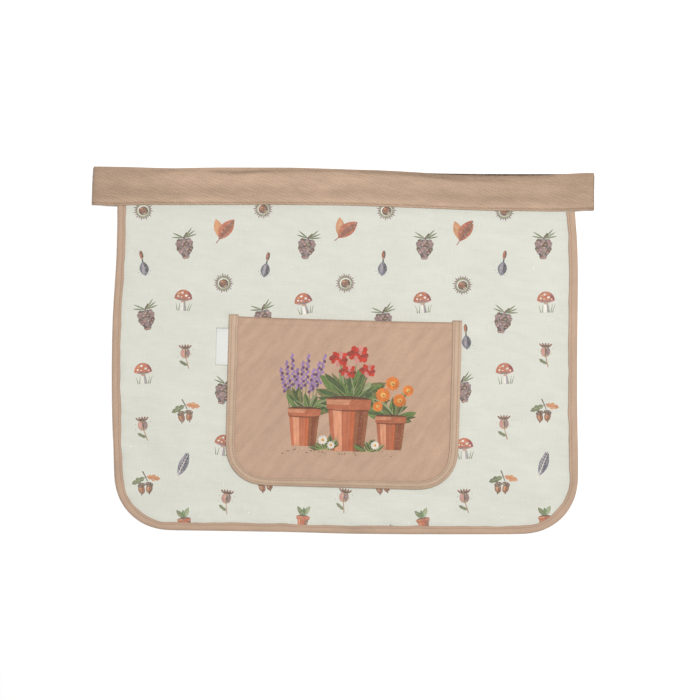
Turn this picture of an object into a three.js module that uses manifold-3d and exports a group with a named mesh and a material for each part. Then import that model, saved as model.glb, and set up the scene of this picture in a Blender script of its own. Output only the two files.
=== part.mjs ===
// A short cotton gardening apron worn as a tool belt: a waist belt carries a bound panel
// with one large patch pocket. It lies flat with its face up.
// Millimetres, +Z up. X runs along the waist and +Y from the hem to the waist.
// The origin is on the surface that it lies on, under the middle of its outline.
import * as THREE from 'three';
import { mergeVertices } from 'three/addons/utils/BufferGeometryUtils.js';
import Module from 'manifold-3d';

// One layer of cloth, and the clearance between two layers.
const CLOTH = 1;
const GAP = 0.3;

// Waist belt: a strip folded double. It turns back at both ends into two tie ends.
const STRAP = 2 * CLOTH;
const TIE_WIDTH = 46;
const TIE_END = 12;
const TUCK = 13;
const STRAP_CHAMFER = 0.5;
const FOLD_STEPS = 6;
// Lengths near a fold: up to the tie's true place, and up to the run's last section.
const TIE_TURN = 40;
const FOLD_LEAD = 6;
// The front run thickens over this length, just outside the panel's edge.
const SWELL_LEAD = 2;
const SWELL_LENGTH = 13;
// The belt's edges along the waist, and how far a tie end stands above the upper one.
const BELT_EDGES = [
  { x: -314.4, top: 230, bottom: 182.8, peek: 0 },
  { x: -286, top: 229.5, bottom: 180, peek: 0 },
  { x: -261, top: 229, bottom: 181.9, peek: 0 },
  { x: -214, top: 227.4, bottom: 181.7, peek: 0 },
  { x: -164, top: 228.6, bottom: 181.8, peek: 0 },
  { x: -64, top: 228.5, bottom: 181.8, peek: 0.2 },
  { x: 0, top: 226.5, bottom: 181.2, peek: 0.4 },
  { x: 61, top: 224.5, bottom: 179.1, peek: 0.4 },
  { x: 111, top: 220.8, bottom: 177.2, peek: 0.8 },
  { x: 174, top: 218.9, bottom: 174.6, peek: 1.9 },
  { x: 236, top: 218.9, bottom: 173.9, peek: 1.9 },
  { x: 274, top: 220.2, bottom: 173.2, peek: 0.4 },
  { x: 314.4, top: 222.6, bottom: 175.8, peek: 0 },
];

// Panel: its bound sides down the apron, its hem across it, and its lower corners.
const SIDE_EDGES = [
  { y: -230, left: -286.2, right: 294.5 },
  { y: -137, left: -286.6, right: 294.4 },
  { y: -90, left: -288.6, right: 293.5 },
  { y: -25, left: -289.4, right: 293.2 },
  { y: 45, left: -288, right: 293.7 },
  { y: 95, left: -284.5, right: 294.2 },
  { y: 130, left: -282.6, right: 293.6 },
  { y: 185, left: -281.7, right: 289 },
];
const HEM_EDGE = [
  { x: -290, y: -224.6 },
  { x: -214, y: -225.2 },
  { x: -64, y: -227.3 },
  { x: 0, y: -229.4 },
  { x: 134, y: -230.1 },
  { x: 190, y: -230.2 },
  { x: 294, y: -229.4 },
];
const PANEL_CORNER = 67;
const PANEL_BINDING = 11.2;
const BINDING_FOLD_STEPS = 5;
// Soft swells where the panel stands off the surface.
const SWELLS = [
  { x: -226, y: 104, reach: 52, rise: 2.2 },
  { x: -222, y: -92, reach: 50, rise: 1.8 },
  { x: 226, y: 76, reach: 56, rise: 2 },
  { x: 214, y: -128, reach: 52, rise: 1.6 },
  { x: 20, y: 108, reach: 48, rise: 1.4 },
  { x: -96, y: -212, reach: 46, rise: 1 },
  { x: 92, y: -216, reach: 46, rise: 1.2 },
];
// The panel comes down from the belt, and from its binding, over these distances.
const BELT_SLOPE = 70;
const RIM_SLOPE = 26;

// Pocket: a patch that is turned a little on the panel.
const POCKET = { x: 0.4, y: -65.4, width: 291.6, height: 213, corner: 47, turn: -1.6 };
const POCKET_BINDING = 12.8;
const MOUTH_DROP = 2.4;
const MOUTH_SAG = 1.6;
const MOUTH_HEM = 10;
// Height that the pocket stands off at its mouth, and the share of it left at its lower end.
const POCKET_PUFF = 8.5;
const LOW_PUFF = 0.3;
const PUFF_SLOPE = 85;

// Label: a folded ribbon. It goes under the binding on the pocket's left side.
const LABEL = { length: 46.5, shown: 16.5, tucked: 6, thickness: 1.2, slit: 0.2, up: 66 };
const LABEL_SLOPE = 16;

// Columns and rows of a bound sheet, counted in from its bound edges.
const EDGE = CLOTH + GAP;
const PANEL_RINGS = [EDGE, PANEL_BINDING + 0.6, 24, 38, 53, PANEL_CORNER];
const PANEL_COLUMNS = 12;
const PANEL_ROWS = 10;
const HEM_RING = 24;
const POCKET_RINGS = [EDGE, POCKET_BINDING + 0.6, HEM_RING, 37, POCKET.corner];
const POCKET_COLUMNS = 8;
const POCKET_ROWS = 10;
// A point is placed between edges that depend on each other, so it is worked out again.
const PLACE_PASSES = 4;

// Heights of the layers under the belt's front run and inside a binding.
const BINDING_STACK = 3 * CLOTH + 2 * GAP;
const FRONT_RUN = STRAP + GAP;
const BELT_PANEL = FRONT_RUN + CLOTH + GAP;

const COLOURS = {
  twill: new THREE.MeshStandardMaterial({ color: '#c1a58e', roughness: 0.9, metalness: 0 }),
  binding: new THREE.MeshStandardMaterial({ color: '#c3a790', roughness: 0.9, metalness: 0 }),
  print: new THREE.MeshStandardMaterial({ color: '#dedfd3', roughness: 0.88, metalness: 0 }),
  pocket: new THREE.MeshStandardMaterial({ color: '#c6a68f', roughness: 0.9, metalness: 0 }),
  label: new THREE.MeshStandardMaterial({ color: '#eeeeea', roughness: 0.7, metalness: 0 }),
};

const { lerp, smoothstep, degToRad } = THREE.MathUtils;

// A smooth line through one column of a table, read at any place along it.
function columnOf(rows, place, column) {
  const slopeAt = (i) => {
    const before = rows[Math.max(i - 1, 0)];
    const after = rows[Math.min(i + 1, rows.length - 1)];
    return (after[column] - before[column]) / (after[place] - before[place]);
  };
  return (at) => {
    const beyond = rows.findIndex((row, i) => i > 0 && row[place] >= at);
    const i = beyond < 0 ? rows.length - 2 : beyond - 1;
    const span = rows[i + 1][place] - rows[i][place];
    const t = (at - rows[i][place]) / span;
    const start = rows[i][column];
    const rise = rows[i + 1][column] - start;
    const bend = (1 - t) * (slopeAt(i) * span - rise) - t * (slopeAt(i + 1) * span - rise);
    return start + rise * t + t * (1 - t) * bend;
  };
}

const beltTop = columnOf(BELT_EDGES, 'x', 'top');
const beltBottom = columnOf(BELT_EDGES, 'x', 'bottom');
const tiePeek = columnOf(BELT_EDGES, 'x', 'peek');

// A bound sheet has a left, right, hem and top edge, and round lower corners.
const panelOutline = {
  left: columnOf(SIDE_EDGES, 'y', 'left'),
  right: columnOf(SIDE_EDGES, 'y', 'right'),
  hem: columnOf(HEM_EDGE, 'x', 'y'),
  top: (x) => beltBottom(x) - GAP,
  corner: PANEL_CORNER,
};
const pocketOutline = {
  left: () => -POCKET.width / 2,
  right: () => POCKET.width / 2,
  hem: () => -POCKET.height / 2,
  top: (x) => {
    const across = (2 * x) / POCKET.width;
    return POCKET.height / 2 - MOUTH_DROP - MOUTH_SAG * (1 - across ** 4);
  },
  corner: POCKET.corner,
};

// The panel's width where it goes into the belt.
const slotStart = panelOutline.left(beltBottom(panelOutline.left(BELT_EDGES[0].bottom)));
const slotEnd = panelOutline.right(beltBottom(panelOutline.right(BELT_EDGES.at(-1).bottom)));

// How far a point lies inside the bound edges of an outline.
function insetOf(outline, x, y) {
  const side = Math.min(x - outline.left(y), outline.right(y) - x);
  const up = y - outline.hem(x);
  const { corner } = outline;
  if (side < corner && up < corner) {
    return corner - Math.hypot(corner - side, corner - up);
  }
  return Math.min(side, up);
}

// Angle round a lower corner of the point that is this far from the side and from the hem.
function cornerAngle(corner, side, up) {
  const inset = Math.min(side, up);
  const share = (corner - Math.max(side, up)) / (corner - inset) / 2;
  return (Math.PI / 2) * (side <= up ? share : 1 - share);
}

// Point of an outline in a column and a row. Either counts in from an edge or goes across.
function pointOf(outline, column, row) {
  let x = 0;
  let y = 0;
  for (let pass = 0; pass < PLACE_PASSES; pass += 1) {
    const start = outline.left(y);
    const end = outline.right(y);
    const { corner } = outline;
    if (column.side) {
      x = column.side < 0 ? start + column.inset : end - column.inset;
    } else {
      x = lerp(start + corner, end - corner, column.share);
    }
    const low = outline.hem(x);
    y = row.low ? low + row.inset : lerp(low + corner, outline.top(x), row.share) + (row.beyond || 0);
  }
  return new THREE.Vector2(x, y);
}

// The same point on rings that follow the round corners.
function roundPointOf(outline, column, row) {
  const { corner } = outline;
  const square = column.side && row.low && column.inset < corner && row.inset < corner;
  if (!square) {
    return pointOf(outline, column, row);
  }
  const radius = corner - Math.min(column.inset, row.inset);
  const angle = cornerAngle(corner, column.inset, row.inset);
  return pointOf(
    outline,
    { ...column, inset: corner - radius * Math.cos(angle) },
    { ...row, inset: corner - radius * Math.sin(angle) },
  );
}

// Columns from left to right and rows from hem to top.
function gridOf(rings, columnCount, rowCount) {
  const steps = (count) => Array.from({ length: count - 1 }, (_, i) => (i + 1) / count);
  const columns = [
    ...rings.map((inset) => ({ side: -1, inset })),
    ...steps(columnCount).map((share) => ({ share })),
    ...rings.map((inset) => ({ side: 1, inset })).reverse(),
  ];
  const rows = [
    ...rings.map((inset) => ({ low: true, inset })),
    ...steps(rowCount).map((share) => ({ share })),
    { share: 1 },
  ];
  return { columns, rows };
}

// Turns a geometry's faces outwards.
function facingOut(geometry) {
  const { position } = geometry.attributes;
  const { array } = geometry.index;
  const corner = [0, 1, 2].map(() => new THREE.Vector3());
  let volume = 0;
  for (let i = 0; i < array.length; i += 3) {
    corner.forEach((point, k) => point.fromBufferAttribute(position, array[i + k]));
    volume += corner[0].dot(corner[1].clone().cross(corner[2]));
  }
  if (volume < 0) {
    array.reverse();
  }
  geometry.computeVertexNormals();
  return geometry;
}

function geometryOf(points, index) {
  const geometry = new THREE.BufferGeometry().setFromPoints(points);
  geometry.setIndex(index);
  return facingOut(geometry);
}

// Closed solid through section loops. The flat profile of the first one gives the end faces.
function loft(sections, profile) {
  const count = profile.length;
  const index = [];
  for (let row = 0; row < sections.length - 1; row += 1) {
    for (let k = 0; k < count; k += 1) {
      const here = row * count + k;
      const beside = row * count + ((k + 1) % count);
      index.push(here, beside, beside + count, here, beside + count, here + count);
    }
  }
  const last = (sections.length - 1) * count;
  THREE.ShapeUtils.triangulateShape(profile, []).forEach(([a, b, c]) => {
    const forward = THREE.ShapeUtils.isClockWise(profile) ? [a, b, c] : [c, b, a];
    index.push(...forward);
    index.push(...forward.map((corner) => corner + last).reverse());
  });
  return geometryOf(sections.flat(), index);
}

// Closed solid between an upper and a lower grid of points.
function slab(upper, lower) {
  const rows = upper.length;
  const columns = upper[0].length;
  const size = rows * columns;
  const index = [];
  const quad = (a, b, c, d) => index.push(a, b, c, a, c, d);
  for (let row = 0; row < rows - 1; row += 1) {
    for (let column = 0; column < columns - 1; column += 1) {
      const a = row * columns + column;
      quad(a, a + 1, a + columns + 1, a + columns);
      quad(size + a + columns, size + a + columns + 1, size + a + 1, size + a);
    }
  }
  const rim = [];
  for (let column = 0; column < columns - 1; column += 1) {
    rim.push(column);
  }
  for (let row = 0; row < rows - 1; row += 1) {
    rim.push(row * columns + columns - 1);
  }
  for (let column = columns - 1; column > 0; column -= 1) {
    rim.push((rows - 1) * columns + column);
  }
  for (let row = rows - 1; row > 0; row -= 1) {
    rim.push(row * columns);
  }
  rim.forEach((here, i) => {
    const next = rim[(i + 1) % rim.length];
    quad(here, here + size, next + size, next);
  });
  return geometryOf([...upper.flat(), ...lower.flat()], index);
}

// Sheet on the grid of an outline, from its underside and its thickness at each point.
function boundSheet(outline, { columns, rows }, underside, thickness) {
  const upper = [];
  const lower = [];
  rows.forEach((row) => {
    const line = columns.map((column) => roundPointOf(outline, column, row));
    lower.push(line.map(({ x, y }) => new THREE.Vector3(x, y, underside(x, y))));
    upper.push(line.map(({ x, y }) => new THREE.Vector3(x, y, underside(x, y) + thickness(x, y))));
  });
  return slab(upper, lower);
}

// Places round the bound edges, from the left side's top to the right side's. Each gives
// the point at any inset on the same line across the binding.
function bindingPlaces(outline, { columns, rows }, beyond) {
  const { corner } = outline;
  const across = (column, row) => {
    const nearSide = column.side && column.inset < corner;
    const nearHem = row.low && row.inset < corner;
    if (nearSide && nearHem) {
      const angle = cornerAngle(corner, column.inset, row.inset);
      return (inset) => pointOf(
        outline,
        { ...column, inset: corner - (corner - inset) * Math.cos(angle) },
        { ...row, inset: corner - (corner - inset) * Math.sin(angle) },
      );
    }
    if (nearSide) {
      return (inset) => pointOf(outline, { ...column, inset }, row);
    }
    return (inset) => pointOf(outline, column, { ...row, inset });
  };
  const sideRows = rows.slice(1);
  const end = { share: 1, beyond };
  const upRows = beyond ? [...sideRows, end] : sideRows;
  const first = columns[0];
  const last = columns[columns.length - 1];
  return [
    ...upRows.map((row) => across(first, row)).reverse(),
    ...columns.map((column) => across(column, rows[0])),
    ...upRows.map((row) => across(last, row)),
  ];
}

// Section of a folded binding: a channel with a round outer fold.
function bindingProfile(width) {
  const top = BINDING_STACK;
  const fold = [];
  for (let step = 0; step <= BINDING_FOLD_STEPS; step += 1) {
    const angle = Math.PI * (step / BINDING_FOLD_STEPS - 0.5);
    fold.push([EDGE * (1 - Math.cos(angle)), (top / 2) * (1 + Math.sin(angle))]);
  }
  const channel = [[width, top - CLOTH], [CLOTH, top - CLOTH], [CLOTH, CLOTH], [width, CLOTH]];
  return [[width, 0], ...fold, [width, top], ...channel].map(([inset, up]) => new THREE.Vector2(inset, up));
}

// Binding folded round the bound edges of a sheet.
function edgeBinding(places, width, underside) {
  const profile = bindingProfile(width);
  const sections = places.map((pointAt) => profile.map(({ x: inset, y: up }) => {
    const { x, y } = pointAt(inset);
    return new THREE.Vector3(x, y, underside(x, y) + up);
  }));
  return loft(sections, profile);
}

function swellAt(x, y) {
  return SWELLS.reduce((sum, swell) => {
    const away = Math.hypot(x - swell.x, y - swell.y) / swell.reach;
    return sum + swell.rise * Math.exp(-away * away);
  }, 0);
}

// Underside of the panel: inside the belt, inside its binding, and down on the surface.
function panelUnderside(x, y) {
  const rim = 1 - smoothstep(insetOf(panelOutline, x, y), PANEL_BINDING + 1, PANEL_BINDING + RIM_SLOPE);
  const belt = 1 - smoothstep(beltBottom(x) - y, 0, BELT_SLOPE);
  return lerp(swellAt(x, y) + rim * EDGE, BELT_PANEL, belt);
}

const pocketTurn = degToRad(POCKET.turn);

// Just above the panel, under a point of the pocket's own frame.
function overPanel(x, y) {
  const turned = new THREE.Vector2(x, y).rotateAround(new THREE.Vector2(), pocketTurn);
  return panelUnderside(POCKET.x + turned.x, POCKET.y + turned.y) + CLOTH + GAP;
}

// Underside of the pocket's binding, which rides up over the label.
function pocketSeat(x, y) {
  const past = Math.abs(y - LABEL.up) - LABEL.length / 2;
  const beside = 1 - smoothstep(x + POCKET.width / 2, POCKET_BINDING, 3 * POCKET_BINDING);
  const over = 1 - smoothstep(past, 1, LABEL_SLOPE);
  return overPanel(x, y) + (LABEL.thickness + GAP) * over * beside;
}

// Underside of the pocket, which puffs out towards its mouth.
function pocketUnderside(x, y) {
  const inset = insetOf(pocketOutline, x, y) - POCKET_BINDING;
  const up = y / POCKET.height + 0.5;
  const puff = POCKET_PUFF * lerp(LOW_PUFF, 1, up) * smoothstep(inset, 0, PUFF_SLOPE);
  return pocketSeat(x, y) + EDGE + puff - mouthHem(x, y);
}

// Second layer of cloth at the back of the pocket's mouth.
function mouthHem(x, y) {
  const below = pocketOutline.top(x) - y;
  const inside = smoothstep(insetOf(pocketOutline, x, y), POCKET_BINDING + 1, HEM_RING);
  return CLOTH * inside * (1 - smoothstep(below, MOUTH_HEM, MOUTH_HEM + 1));
}

function panelSheet() {
  const grid = gridOf(PANEL_RINGS, PANEL_COLUMNS, PANEL_ROWS);
  grid.rows.push({ share: 1, beyond: GAP + TUCK });
  return boundSheet(panelOutline, grid, panelUnderside, () => CLOTH);
}

function panelBinding() {
  const places = bindingPlaces(panelOutline, gridOf(PANEL_RINGS, PANEL_COLUMNS, PANEL_ROWS), 0);
  return edgeBinding(places, PANEL_BINDING, (x, y) => panelUnderside(x, y) - EDGE);
}

// The pocket's grid has two rows more at the inner edge of its mouth's hem.
function pocketGrid() {
  const grid = gridOf(POCKET_RINGS, POCKET_COLUMNS, POCKET_ROWS);
  const hemRows = [{ share: 1, beyond: -MOUTH_HEM - 1 }, { share: 1, beyond: -MOUTH_HEM }];
  grid.rows.splice(-1, 0, ...hemRows);
  return grid;
}

function pocketSheet() {
  return boundSheet(pocketOutline, pocketGrid(), pocketUnderside, (x, y) => CLOTH + mouthHem(x, y));
}

function pocketBinding() {
  const places = bindingPlaces(pocketOutline, pocketGrid(), MOUTH_DROP);
  return edgeBinding(places, POCKET_BINDING, pocketSeat);
}

// Ribbon folded over at its outer end, with its two leaves open towards the seam.
function foldedLabel() {
  const { length, shown, tucked, thickness, slit } = LABEL;
  const round = thickness / 2;
  const leaf = (thickness - slit) / 2;
  const ribbon = new THREE.Shape();
  ribbon.moveTo(tucked, 0);
  ribbon.lineTo(tucked, leaf);
  ribbon.lineTo(round - shown, leaf);
  ribbon.lineTo(round - shown, thickness - leaf);
  ribbon.lineTo(tucked, thickness - leaf);
  ribbon.lineTo(tucked, thickness);
  ribbon.lineTo(round - shown, thickness);
  ribbon.absarc(round - shown, round, round, Math.PI / 2, (3 * Math.PI) / 2, false);
  ribbon.closePath();
  const geometry = new THREE.ExtrudeGeometry(ribbon, {
    depth: length,
    bevelEnabled: false,
    curveSegments: FOLD_STEPS,
  });
  geometry.rotateX(Math.PI / 2);
  return geometry;
}

// Section of the strip across its path, with its corners taken off.
function strapSection(x, z, lean, half, top, bottom) {
  const cut = STRAP_CHAMFER;
  const profile = [
    [bottom, cut - half], [bottom + cut, -half], [top - cut, -half], [top, cut - half],
    [top, half - cut], [top - cut, half], [bottom + cut, half], [bottom, half - cut],
  ];
  return profile.map(([y, out]) => {
    return new THREE.Vector3(x + out * Math.sin(lean), y, z + out * Math.cos(lean));
  });
}

// One half of the strip, from a tie's free end to the middle of the front run.
function strapHalf(side) {
  const half = STRAP / 2;
  const bend = half + GAP / 2;
  const foldX = Math.abs(BELT_EDGES.at(side < 0 ? 0 : -1).x) - bend - half;
  const places = BELT_EDGES.map((row) => row.x * side).filter((x) => x > TIE_END && x < foldX);
  const runs = [...places, foldX - FOLD_LEAD].sort((a, b) => a - b);
  const sections = [TIE_END, ...runs].map((x) => {
    const behind = 1 - smoothstep(x, foldX - TIE_TURN, foldX);
    const top = beltTop(side * x) + tiePeek(side * x) * behind;
    const bottom = lerp(beltBottom(side * x), top - TIE_WIDTH, behind);
    return strapSection(side * x, half, Math.PI, half, top, bottom);
  });
  for (let step = 0; step <= FOLD_STEPS; step += 1) {
    const turn = (Math.PI * step) / FOLD_STEPS;
    const x = side * (foldX + bend * Math.sin(turn));
    const lean = side * (Math.PI - turn);
    const z = half + bend * (1 - Math.cos(turn));
    sections.push(strapSection(x, z, lean, half, beltTop(x), beltBottom(x)));
  }
  const thickFrom = Math.abs(side < 0 ? slotStart : slotEnd) + SWELL_LEAD;
  const thinFrom = thickFrom + SWELL_LENGTH;
  [...runs, thickFrom, thinFrom].sort((a, b) => b - a).forEach((x) => {
    const thick = lerp(BINDING_STACK, STRAP, smoothstep(x, thickFrom, thinFrom));
    const z = FRONT_RUN + thick / 2;
    sections.push(strapSection(side * x, z, 0, thick / 2, beltTop(side * x), beltBottom(side * x)));
  });
  return sections;
}

// Slot along the belt's lower edge for the panel's top edge.
function beltSlot() {
  const low = BELT_PANEL - GAP;
  const high = BELT_PANEL + CLOTH + GAP;
  const places = BELT_EDGES.map((row) => row.x).filter((x) => x > slotStart && x < slotEnd);
  const sections = [slotStart, ...places, slotEnd].map((x) => {
    const bottom = beltBottom(x) - 2 * GAP;
    const top = beltBottom(x) + TUCK + GAP;
    return [[bottom, low], [top, low], [top, high], [bottom, high]]
      .map(([y, z]) => new THREE.Vector3(x, y, z));
  });
  const profile = sections[0].map(({ y, z }) => new THREE.Vector2(y, z));
  return loft(sections, profile);
}

function waistBelt(wasm) {
  const left = strapHalf(-1);
  const right = strapHalf(1).reverse();
  const half = BINDING_STACK / 2;
  const middle = strapSection(0, FRONT_RUN + half, 0, half, beltTop(0), beltBottom(0));
  const sections = [...left, middle, ...right];
  const profile = left[0].map(({ y, z }) => new THREE.Vector2(y, z));
  const solidOf = (geometry) => {
    geometry.deleteAttribute('normal');
    const merged = mergeVertices(geometry);
    return new wasm.Manifold(new wasm.Mesh({
      numProp: 3,
      vertProperties: merged.attributes.position.array,
      triVerts: new Uint32Array(merged.index.array),
    }));
  };
  const strip = solidOf(loft(sections, profile));
  const { vertProperties, triVerts } = strip.subtract(solidOf(beltSlot())).getMesh();
  const geometry = new THREE.BufferGeometry();
  geometry.setAttribute('position', new THREE.BufferAttribute(vertProperties, 3));
  geometry.setIndex(new THREE.BufferAttribute(triVerts, 1));
  geometry.computeVertexNormals();
  return geometry;
}

function piece(name, geometry, material) {
  const mesh = new THREE.Mesh(geometry, material);
  mesh.name = name;
  return mesh;
}

const wasm = await Module();
wasm.setup();

const label = piece('side_label', foldedLabel(), COLOURS.label);
const labelSeam = -POCKET.width / 2;
label.position.set(labelSeam, LABEL.up + LABEL.length / 2, overPanel(labelSeam, LABEL.up));

const pocket = new THREE.Group();
pocket.position.set(POCKET.x, POCKET.y, 0);
pocket.rotation.z = pocketTurn;
pocket.add(
  piece('pocket_panel', pocketSheet(), COLOURS.pocket),
  piece('pocket_binding', pocketBinding(), COLOURS.binding),
  label,
);

const apron = new THREE.Group();
apron.add(
  piece('waist_belt', waistBelt(wasm), COLOURS.twill),
  piece('apron_panel', panelSheet(), COLOURS.print),
  piece('panel_binding', panelBinding(), COLOURS.binding),
  pocket,
);

export default apron;
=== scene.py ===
import math
import random
import bpy
import numpy as np
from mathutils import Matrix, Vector, noise
from mathutils.bvhtree import BVHTree
from mathutils.geometry import delaunay_2d_cdt
from mathutils.kdtree import KDTree


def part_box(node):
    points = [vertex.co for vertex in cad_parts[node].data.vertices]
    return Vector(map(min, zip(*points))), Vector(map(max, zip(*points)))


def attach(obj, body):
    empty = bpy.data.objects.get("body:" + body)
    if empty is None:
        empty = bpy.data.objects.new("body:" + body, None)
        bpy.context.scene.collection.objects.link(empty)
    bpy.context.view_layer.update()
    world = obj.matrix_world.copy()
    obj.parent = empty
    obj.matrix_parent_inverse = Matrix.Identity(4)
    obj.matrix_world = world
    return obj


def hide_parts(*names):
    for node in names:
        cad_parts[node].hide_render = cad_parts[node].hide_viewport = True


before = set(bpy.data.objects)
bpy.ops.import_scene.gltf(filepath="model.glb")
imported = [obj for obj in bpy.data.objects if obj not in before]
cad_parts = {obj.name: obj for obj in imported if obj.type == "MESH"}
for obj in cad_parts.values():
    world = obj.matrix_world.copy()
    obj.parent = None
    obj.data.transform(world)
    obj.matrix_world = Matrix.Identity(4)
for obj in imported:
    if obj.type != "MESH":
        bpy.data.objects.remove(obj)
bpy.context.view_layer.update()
print("frame loaded")

# Shapes are worked out in millimetres. They become metres when a mesh is made.
mm = 0.001
fullTurn = 2 * math.pi


# What the solids give: boxes, edges, cuts across the waist, reach round a centre, and heights

def boxOf(name):
    return [np.array(corner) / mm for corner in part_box(name)]


def edgesOf(name):
    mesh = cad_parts[name].data
    points = np.array([v.co for v in mesh.vertices]) / mm
    edges = np.array([e.vertices for e in mesh.edges])
    return points[edges[:, 0]], points[edges[:, 1]]


def crossings(name, x):
    start, end = edgesOf(name)
    across = (start[:, 0] - x) * (end[:, 0] - x) < 0
    start, end = start[across], end[across]
    share = (x - start[:, 0]) / (end[:, 0] - start[:, 0])
    return start + share[:, None] * (end - start)


directions = np.arange(1440) * fullTurn / 1440
ways = np.stack([np.cos(directions), np.sin(directions)], axis=1)


def reachOf(name, centre):
    start, end = (points[:, :2] - centre for points in edgesOf(name))
    reach = np.zeros(len(ways))
    for i, way in enumerate(ways):
        side = np.array((-way[1], way[0]))
        a, b = start @ side, end @ side
        across = a * b < 0
        if across.any():
            share = a[across] / (a[across] - b[across])
            hits = start[across] + share[:, None] * (end[across] - start[across])
            reach[i] = max(0, (hits @ way).max())
    return reach


def treeOf(name):
    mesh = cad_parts[name].data
    points = [v.co / mm for v in mesh.vertices]
    return BVHTree.FromPolygons(points, [tuple(p.vertices) for p in mesh.polygons])


def heightAt(tree, x, y, below=False, clear=100):
    side = -1 if below else 1
    hit = tree.ray_cast(Vector((x, y, side * clear)), Vector((0, 0, -side)))[0]
    return hit.z if hit else math.nan


# A face's heights on a square grid, softened, and read anywhere between
def surfaceOf(name, below=False, pitch=4, passes=3):
    low, high = boxOf(name)
    tree = treeOf(name)
    xs, ys = (np.arange(low[k], high[k] + pitch, pitch) for k in range(2))
    heights = np.array([[heightAt(tree, x, y, below) for x in xs] for y in ys])

    def around(grid):
        padded = np.pad(grid, 1, mode="edge")
        rows, columns = grid.shape
        return np.stack([padded[i:i + rows, j:j + columns] for i in range(3) for j in range(3)])

    while np.isnan(heights).any():
        near = around(heights)
        known = (~np.isnan(near)).sum(0)
        mean = np.nan_to_num(near).sum(0) / np.maximum(known, 1)
        heights = np.where(np.isnan(heights) & (known > 0), mean, heights)
    for _ in range(passes):
        heights = around(heights).mean(0)

    def read(x, y):
        column = np.clip((np.asarray(x) - low[0]) / pitch, 0, len(xs) - 1.001)
        row = np.clip((np.asarray(y) - low[1]) / pitch, 0, len(ys) - 1.001)
        i, j = row.astype(int), column.astype(int)
        u, v = column - j, row - i
        under = heights[i, j] * (1 - u) + heights[i, j + 1] * u
        over = heights[i + 1, j] * (1 - u) + heights[i + 1, j + 1] * u
        return under * (1 - v) + over * v

    return read


# Lines: softening, even spacing, the way ahead, and the way inwards on an anticlockwise line

def soften(line, spread, closed=False):
    size = int(3 * spread)
    kernel = np.exp(-0.5 * (np.arange(-size, size + 1) / spread) ** 2)
    kernel /= kernel.sum()
    if closed:
        padded = np.concatenate([line[-size:], line, line[:size]])
    else:
        before = 2 * line[0] - line[size:0:-1]
        after = 2 * line[-1] - line[-2:-size - 2:-1]
        padded = np.concatenate([before, line, after])
    return np.stack([np.convolve(column, kernel, "valid") for column in padded.T], axis=1)


def lengthsAlong(line):
    steps = np.hypot(*np.diff(line[:, :2], axis=0).T)
    return np.concatenate([[0], np.cumsum(steps)])


def evenly(line, step):
    along = lengthsAlong(line)
    places = np.linspace(0, along[-1], int(round(along[-1] / step)) + 1)
    return np.stack([np.interp(places, along, column) for column in line.T], axis=1)


def aheadOn(line):
    ahead = np.gradient(line, axis=0)
    return ahead / np.linalg.norm(ahead, axis=1)[:, None]


def inwards(line):
    return aheadOn(line)[:, ::-1] * (-1, 1)


# Levels rows of points that lie turned by an angle. Its transpose turns them back.
def levelling(turn):
    c, s = math.cos(turn), math.sin(turn)
    return np.array([[c, -s], [s, c]])


# Shares: a soft step, a bell, a fade, a rounded edge, noise and a table read between its places

def smoothStep(value, start, end):
    share = np.clip((np.asarray(value, float) - start) / (end - start), 0, 1)
    return share * share * (3 - 2 * share)


def bell(value, half):
    return np.exp(-(value / half) ** 2)


def fading(distance, reach):
    return np.exp(-np.maximum(distance, 0) / reach)


def rounded(depth, radius):
    return np.sqrt(1 - (1 - np.clip(depth / radius, 0, 1)) ** 2)


def ripple(x, y, size, layer):
    return np.array([noise.noise(Vector((a / size, b / size, layer))) for a, b in zip(x, y)])


def readTable(table, at):
    return np.interp(at, list(table), list(table.values()))


# Meshes and their cloth coordinates and painted shading

def addObject(name, data):
    made = bpy.data.objects.new(name, data)
    bpy.context.scene.collection.objects.link(made)
    return made


def meshOf(name, points, faces, cloth, paintedShading=None):
    mesh = bpy.data.meshes.new(name)
    mesh.from_pydata((np.asarray(points) * mm).tolist(), [], faces)
    mesh.shade_smooth()
    piece = addObject(name, mesh)
    corners = np.zeros(len(mesh.loops), np.int32)
    mesh.loops.foreach_get("vertex_index", corners)
    layer = mesh.uv_layers.new(name="cloth")
    layer.data.foreach_set("uv", (np.asarray(cloth) * mm)[corners].astype(np.float32).ravel())
    if paintedShading is not None:
        paintShading(piece, paintedShading)
    return piece


# The fold attribute holds painted shade, and painted light where it is below zero
def paintShading(piece, paintedShading):
    layer = piece.data.attributes.new("fold", "FLOAT", "POINT")
    layer.data.foreach_set("value", np.asarray(paintedShading, np.float32))


def ringFaces(ringCount, size, start=0):
    faces = []
    for first in range(start, start + (ringCount - 1) * size, size):
        for k in range(size):
            here, beside = first + k, first + (k + 1) % size
            faces.append([here, beside, beside + size, here + size])
    last = start + (ringCount - 1) * size
    return faces + [list(range(start, start + size))[::-1], list(range(last, last + size))]


# A closed piece from rings of points, with its faces turned outwards
def ringPiece(name, rings, cloth, paintedShading):
    points = np.array(rings).reshape(-1, 3)
    faces = ringFaces(len(rings), len(rings[0]))
    a, b, c, d = np.moveaxis(points[np.array(faces[:-2])], 1, 0)
    volume = (a * (np.cross(b, c) + np.cross(c, d))).sum()
    faces = faces if volume > 0 else [face[::-1] for face in faces]
    return meshOf(name, points, faces, np.array(cloth).reshape(-1, 2), np.ravel(paintedShading))


# Node tools. A value that is another node's output is linked, and any other value is set.

def addNode(tree, kind, values=None, **settings):
    made = tree.nodes.new(kind)
    for key, value in settings.items():
        setattr(made, key, value)
    for key, value in (values or {}).items():
        if isinstance(value, bpy.types.NodeSocket):
            tree.links.new(value, made.inputs[key])
        else:
            made.inputs[key].default_value = value
    return made


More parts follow.
